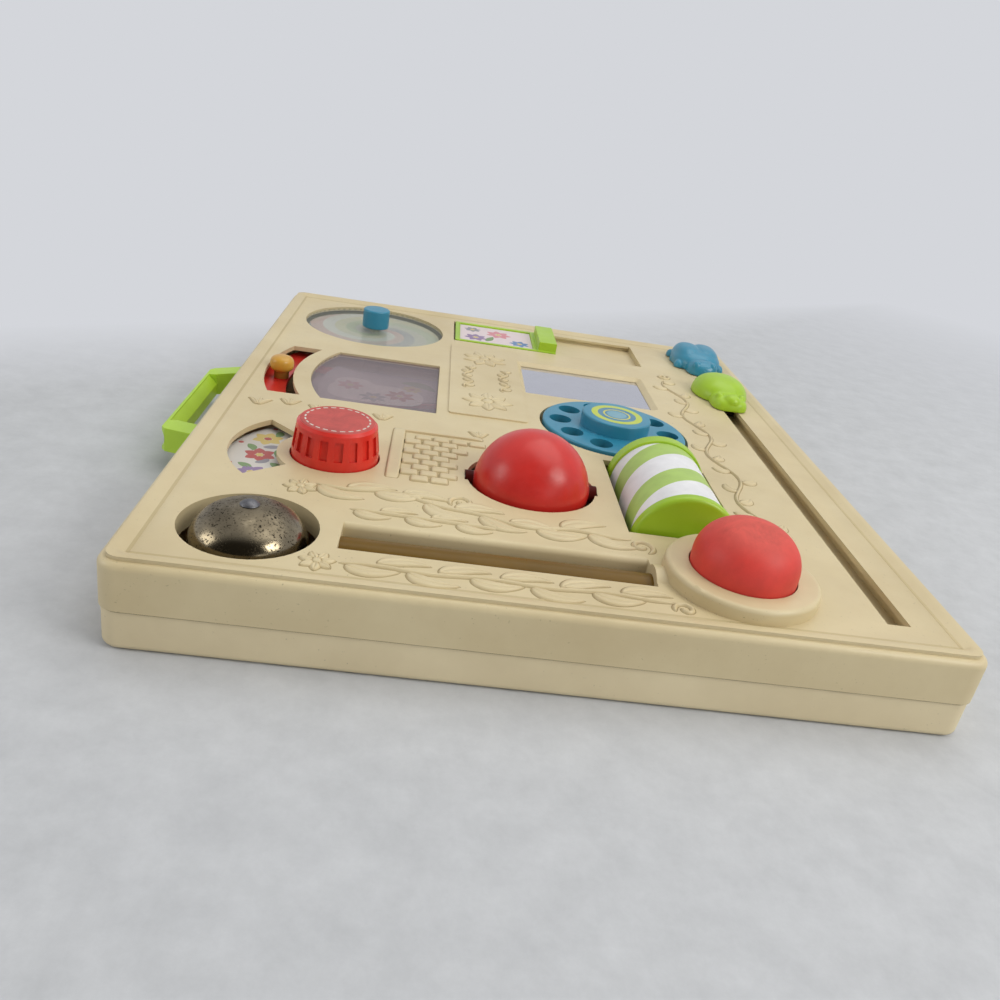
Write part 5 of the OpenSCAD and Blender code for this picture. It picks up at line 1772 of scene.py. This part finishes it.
@dataclass
class TelephoneDial(SubAssembly):
    """The dial with its finger holes, and the rings printed on its hub."""

    centre: Point = (46.0, -2.5)
    edge: float = 0.7
    decal_r: float = 13.8

    def build(self, shop: Workshop) -> None:
        """Makes the dial with round edges, and its printed label.

        Args:
            shop: The workshop that makes them.
        """
        shop.soften("dial_plate", "dial_face", Paints.blue, self.edge, 30.0, 3)
        level = shop.top("dial_plate")
        rings = (
            (0.0, srgb(112, 164, 184)),
            (5.3, srgb(66, 128, 160)),
            (6.5, srgb(214, 206, 70)),
            (7.4, srgb(66, 128, 160)),
            (10.3, srgb(190, 204, 66)),
        )
        finish = RingPrint("dial_label", self.centre, rings, self.decal_r)
        profile = np.array(
            [[0, level - 0.1], [self.decal_r, level - 0.1], [self.decal_r, level + 0.05], [0, level + 0.06]]
        )
        label = Form.turned(profile, self.centre, 80)
        shop.piece("dial_rings", [label], finish, Body.DIAL)

    def dress(self, shop: Workshop) -> None:
        """Gives the works under the dial their finishes.

        Args:
            shop: The workshop.
        """
        shop.paint(Paints.cream, "dial_cup")
        shop.paint(Paints.white, "dial_spindle", "dial_ratchet")
        shop.paint(Paints.steel, "dial_clip", "click_spring")


@dataclass
class BallAndDrum(SubAssembly):
    """The roller ball, and the drum with its green caps."""

    drum_centre: tuple[float, float, float] = (59.0, -65.0, 28.0)
    ball_edge: float = 0.4
    cap_edge: float = 0.8

    def build(self, shop: Workshop) -> None:
        """Makes the ball, the caps and the printed sleeve.

        Args:
            shop: The workshop that makes them.
        """
        shop.soften("roller_ball", "ball_shell", Paints.ball, self.ball_edge, 28.0, 3)
        shop.soften("drum_near_cap", "cap_near", Paints.lime, self.cap_edge, 28.0, 3)
        shop.soften("drum_far_cap", "cap_far", Paints.lime, self.cap_edge, 28.0, 3)
        bands = BandPrint("sleeve_print", self.drum_centre, srgb(236, 236, 238), srgb(174, 204, 104))
        shop.soften("drum_sleeve", "sleeve_paper", bands, 0.0)

    def dress(self, shop: Workshop) -> None:
        """Gives the axles and the barrel their finishes.

        Args:
            shop: The workshop.
        """
        shop.paint(Paints.steel, "ball_axle", "drum_axle")
        shop.paint(Paints.white, "drum_barrel")


@dataclass
class MirrorPanel(SubAssembly):
    """The mirror behind its bevelled opening."""

    def build(self, shop: Workshop) -> None:
        """Makes no piece of its own; the nodes have the right form."""

    def dress(self, shop: Workshop) -> None:
        """Gives the mirror and its backing their finishes.

        Args:
            shop: The workshop.
        """
        shop.paint(Paints.mirror, "mirror_plate")
        shop.paint(Paints.white, "mirror_backing")


@dataclass
class SlidingDoor(SubAssembly):
    """The green door, its label and the picture that it hides."""

    edge: float = 0.5

    def build(self, shop: Workshop) -> None:
        """Makes the door with round edges, and both prints.

        Args:
            shop: The workshop that makes them.
        """
        shop.soften("door_panel", "door_frame", Paints.lime, self.edge, 30.0, 3)
        self.label_print(shop.top("door_label")).build(shop)
        self.hidden_print(shop.top("door_picture")).build(shop)

    def label_print(self, level: float) -> PrintSet:
        """The print on the door's label.

        Args:
            level: Level of the label's face.

        Returns:
            The print.
        """
        art = PrintSet(Body.DOOR, "door_print", "label_art")
        flowers = ((-27, 146, 8, "violet"), (-11, 160, 9, "pink"), (3, 144, 7, "blue"), (-29, 165, 6, "grey"))
        for x, y, size, ink in flowers:
            art.flower(ink, (x, y), size, 7, 1.8, level, 11.0 * size)
        art.add("green", Form.leaf((-20, 140), (-17, 146), (-15, 153), 2.4, INK, level))
        return art

    def hidden_print(self, level: float) -> PrintSet:
        """The print that shows when the door is open.

        Args:
            level: Level of the picture's face.

        Returns:
            The print.
        """
        art = PrintSet(Body.HOUSING, "door_print", "hidden_art")
        art.add("yellow", Form.pad((-12, 155), (9, 9), INK, level, 2.0))
        art.add("red", *Motif.daisy((-12, 155), 19, 10, INK, level))
        return art

    def dress(self, shop: Workshop) -> None:
        """Gives the tray and the cards their finishes.

        Args:
            shop: The workshop.
        """
        shop.paint(Paints.cream, "door_tray")
        shop.paint(PrintInk("label_card", srgb(222, 206, 208)), "door_label")
        shop.paint(PrintInk("door_card", srgb(226, 222, 206)), "door_picture")


@dataclass
class TrackSliders(SubAssembly):
    """The two figures, and the track that they run in."""

    track: float = 128.6
    turtle: float = 84.0
    beetle: float = 153.0
    foot: float = 34.3
    grain: float = 0.5
    passes: int = 8

    def build(self, shop: Workshop) -> None:
        """Makes the figures with flowing forms.

        Args:
            shop: The workshop that makes them.
        """
        shop.melt("turtle_figure", "turtle_slider", self.turtle_forms(), Paints.lime, self.grain, self.passes)
        shop.melt("beetle_figure", "beetle_slider", self.beetle_forms(), Paints.blue, self.grain, self.passes)

    def lump(self, x: float, y: float, half: Point, rise: float, lift: float, power: float, full: float) -> Surface:
        """One lump of a figure.

        Args:
            x: Distance from the track's middle.
            y: Place along the track.
            half: Half sizes.
            rise: Height.
            lift: Level of its underside over the figure's foot.
            power: Squareness of the outline.
            full: Fullness of the side.

        Returns:
            The form.
        """
        return Form.mound((self.track + x, y), half, rise, self.foot + lift, power, full)

    def turtle_forms(self) -> list[Surface]:
        """The turtle: shell, head, nose and eyes.

        Returns:
            The forms.
        """
        y = self.turtle
        forms = [
            self.lump(0, y + 5, (17.2, 19.8), 13.0, 0, 2.2, 2.3),
            self.lump(0, y - 17, (10.8, 11.0), 7.2, 0, 3.0, 3.4),
            self.lump(0, y - 23, (5.6, 4.8), 4.6, 4.8, 2.0, 2.0),
        ]
        forms += [self.lump(s * 7.0, y - 18.6, (2.5, 2.8), 2.8, 5.8, 2.0, 2.0) for s in (-1, 1)]
        return forms

    def beetle_forms(self) -> list[Surface]:
        """The beetle: body, two wings, head, eyes and six feet.

        Returns:
            The forms.
        """
        y = self.beetle
        forms = [
            self.lump(0, y + 3, (16.8, 20.4), 11.8, 0, 2.4, 2.8),
            self.lump(0, y - 17.5, (10.4, 10.0), 8.8, 0, 2.6, 2.8),
        ]
        forms += [self.lump(s * 5.6, y + 5, (10.4, 17.6), 13.0, 0, 2.4, 2.7) for s in (-1, 1)]
        forms += [self.lump(s * 5.6, y - 22.5, (3.2, 3.2), 4.6, 4.6, 2.0, 2.0) for s in (-1, 1)]
        feet = [(s, along) for s in (-1, 1) for along in (-9.0, 5.0, 17.0)]
        forms += [self.lump(s * 14.0, y + along, (3.5, 4.2), 4.8, 0, 2.0, 2.4) for s, along in feet]
        return forms

    def dress(self, shop: Workshop) -> None:
        """Gives the track, the shoes and the screws their finishes.

        Args:
            shop: The workshop.
        """
        shop.paint(Paints.cream, "track_guide")
        shop.paint(Paints.dark, "turtle_shoe", "beetle_shoe")
        shop.paint(Paints.steel, "turtle_screw", "beetle_screw")


@dataclass
class Studio:
    """The floor, the lights and the camera.

    The floor passes into the backdrop at two places, in metres: past the fold, which is the backdrop's foot behind the
    object, and further out all round.
    """

    eye: tuple[float, float, float] = (-0.0576621, -0.4505739, 0.1925674)
    right: tuple[float, float, float] = (0.9869966, -0.0367286, 0.1564885)
    down: tuple[float, float, float] = (0.1257367, -0.4300928, -0.8939857)
    ahead: tuple[float, float, float] = (0.1001394, 0.9020372, -0.4198820)
    lens: float = 32.1986
    floor_size: float = 40.0
    backdrop: Colour = srgb(212, 214, 219)
    pile: tuple[Colour, Colour] = (srgb(203, 205, 208), srgb(188, 190, 193))
    fold: Point = (-0.581, 0.814)
    fold_fade: Point = (0.17, 0.3)
    fade: Point = (0.34, 0.95)
    dim: Colour = srgb(44, 42, 38)
    dim_fade: Point = (0.1, -0.5)
    warm: Colour = (1.0, 0.98, 0.93)
    sky: Colour = (0.86, 0.88, 0.92)
    sky_strength: float = 0.5

    def build(self) -> None:
        """Puts up the floor, the lights and the camera."""
        self.lay_floor()
        self.hang_lights()
        self.set_camera()

    @staticmethod
    def seen(tree: Any) -> Any:
        """A share that is 1 for what the camera sees, also in metal and through glass.

        Args:
            tree: Node tree to add it to.

        Returns:
            The value output.
        """
        path = tree.nodes.new("ShaderNodeLightPath")
        total = path.outputs["Is Camera Ray"]
        for name in ("Is Glossy Ray", "Is Transmission Ray"):
            node = tree.nodes.new("ShaderNodeMath")
            node.operation = "MAXIMUM"
            tree.links.new(total, node.inputs[0])
            tree.links.new(path.outputs[name], node.inputs[1])
            total = node.outputs[0]
        return total

    def lay_floor(self) -> None:
        """Lays a pale floor under the object, which passes into the backdrop further out."""
        half = self.floor_size / 2
        mesh = bpy.data.meshes.new("floor")
        mesh.from_pydata(
            [(-half, -half, 0), (half, -half, 0), (half, half, 0), (-half, half, 0)], [], [(0, 1, 2, 3)]
        )
        floor = bpy.data.objects.new("floor", mesh)
        bpy.context.scene.collection.objects.link(floor)
        g = Graph("floor_paper")
        tone = g.steps(g.noise(55, 9, 0.75), [(0.3, self.pile[0]), (0.7, self.pile[1])])
        x, y, _ = g.axes()
        far = g.distance(x, y)
        across = g.sum("MULTIPLY_ADD", x, self.fold[0], g.sum("MULTIPLY", y, self.fold[1]))
        past = g.sum("MAXIMUM", g.band(far, *self.fade), g.band(across, *self.fold_fade))
        away = g.sum("MULTIPLY", past, self.seen(g.tree))
        g.shade(Base_Color=g.mix(away, tone, (0.0, 0.0, 0.0)), Roughness=0.8, Specular_IOR_Level=0.0)
        g.shade(Emission_Color=self.backdrop, Emission_Strength=away)
        mesh.materials.append(g.material)

    def lamp(self, name: str, place: Sequence[float], aim: Sequence[float], size: Point, power: float) -> None:
        """Hangs one soft light.

        Args:
            name: Name of the light.
            place: Where it hangs, in metres.
            aim: Point that it faces.
            size: Width and height of its face.
            power: Power in watts.
        """
        data = bpy.data.lights.new(name, "AREA")
        data.shape = "RECTANGLE"
        data.size, data.size_y = size
        data.energy = power
        data.color = self.warm
        back = np.array(place, float) - np.array(aim, float)
        back /= np.linalg.norm(back)
        side = np.cross((0.0, 1.0, 0.0) if abs(back[2]) > 0.99 else (0.0, 0.0, 1.0), back)
        side /= np.linalg.norm(side)
        up = np.cross(back, side)
        turn = np.eye(4)
        turn[:3, :3] = np.stack([side, up, back], -1)
        turn[:3, 3] = place
        obj = bpy.data.objects.new(name, data)
        obj.matrix_world = Matrix(turn.tolist())
        bpy.context.scene.collection.objects.link(obj)

    def room(self, tree: Any) -> Any:
        """The colour of the walls: the backdrop, but dim in a mirror that faces the camera.

        Args:
            tree: Node tree of the world.

        Returns:
            The colour output.
        """
        place = tree.nodes.new("ShaderNodeTexCoord")
        split = tree.nodes.new("ShaderNodeSeparateXYZ")
        tree.links.new(place.outputs["Generated"], split.inputs[0])
        near = tree.nodes.new("ShaderNodeMapRange")
        near.interpolation_type = "SMOOTHSTEP"
        near.inputs["From Min"].default_value, near.inputs["From Max"].default_value = self.dim_fade
        tree.links.new(split.outputs["Y"], near.inputs["Value"])
        path = tree.nodes.new("ShaderNodeLightPath")
        share = tree.nodes.new("ShaderNodeMath")
        share.operation = "MULTIPLY"
        tree.links.new(near.outputs[0], share.inputs[0])
        tree.links.new(path.outputs["Is Glossy Ray"], share.inputs[1])
        tone = tree.nodes.new("ShaderNodeMix")
        tone.data_type = "RGBA"
        tree.links.new(share.outputs[0], tone.inputs[0])
        tone.inputs[6].default_value = (*self.backdrop, 1.0)
        tone.inputs[7].default_value = (*self.dim, 1.0)
        return tone.outputs[2]

    def hang_lights(self) -> None:
        """Hangs a large soft light overhead, a smaller one on each side, a weak one in front, and an even sky."""
        self.lamp("overhead", (0.4, 0.3, 1.5), (0, 0, 0), (1.5, 1.2), 9.4)
        self.lamp("window_left", (-1.15, -0.27, 0.54), (-0.05, -0.1, 0.03), (0.5, 0.5), 2.6)
        self.lamp("window_right", (0.86, -0.58, 0.8), (0, -0.1, 0.03), (0.5, 0.5), 5.8)
        self.lamp("front_fill", (1.0, -1.5, 0.45), (0.1, -0.2, 0.03), (0.9, 0.5), 1.6)
        world = bpy.data.worlds.new("sky")
        bpy.context.scene.world = world
        world.use_nodes = True
        tree = world.node_tree
        light = next(n for n in tree.nodes if n.type == "BACKGROUND")
        light.inputs["Color"].default_value = (*self.sky, 1.0)
        light.inputs["Strength"].default_value = self.sky_strength
        wall = tree.nodes.new("ShaderNodeBackground")
        tree.links.new(self.room(tree), wall.inputs["Color"])
        choice = tree.nodes.new("ShaderNodeMixShader")
        tree.links.new(self.seen(tree), choice.inputs[0])
        tree.links.new(light.outputs[0], choice.inputs[1])
        tree.links.new(wall.outputs[0], choice.inputs[2])
        out = next(n for n in tree.nodes if n.type == "OUTPUT_WORLD")
        tree.links.new(choice.outputs[0], out.inputs["Surface"])

    def set_camera(self) -> None:
        """Sets the camera where the photograph was taken."""
        data = bpy.data.cameras.new("camera")
        data.lens = self.lens
        data.sensor_width = 36.0
        data.clip_start = 0.01
        turn = np.eye(4)
        turn[:3, :3] = np.stack([np.array(self.right), -np.array(self.down), -np.array(self.ahead)], -1)
        turn[:3, 3] = self.eye
        camera = bpy.data.objects.new("camera", data)
        camera.matrix_world = Matrix(turn.tolist())
        bpy.context.scene.collection.objects.link(camera)
        bpy.context.scene.camera = camera
        bpy.context.scene.view_settings.view_transform = "Standard"


def main() -> None:
    """Builds every group of pieces round the frame, then the studio."""
    logging.basicConfig(level=logging.INFO, format="%(name)s: %(message)s")
    shop = Workshop(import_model())
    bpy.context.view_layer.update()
    groups: tuple[SubAssembly, ...] = (
        Case(),
        PanelRelief(),
        BellStriker(),
        SqueezeBulb(),
        PictureKnob(),
        LeverPicture(),
        Spinner(),
        TelephoneDial(),
        BallAndDrum(),
        MirrorPanel(),
        SlidingDoor(),
        TrackSliders(),
    )
    for group in groups:
        group.build(shop)
        group.dress(shop)
        LOG.info("finished %s", type(group).__name__)
    Studio().build()


if __name__ == "__main__":
    main()
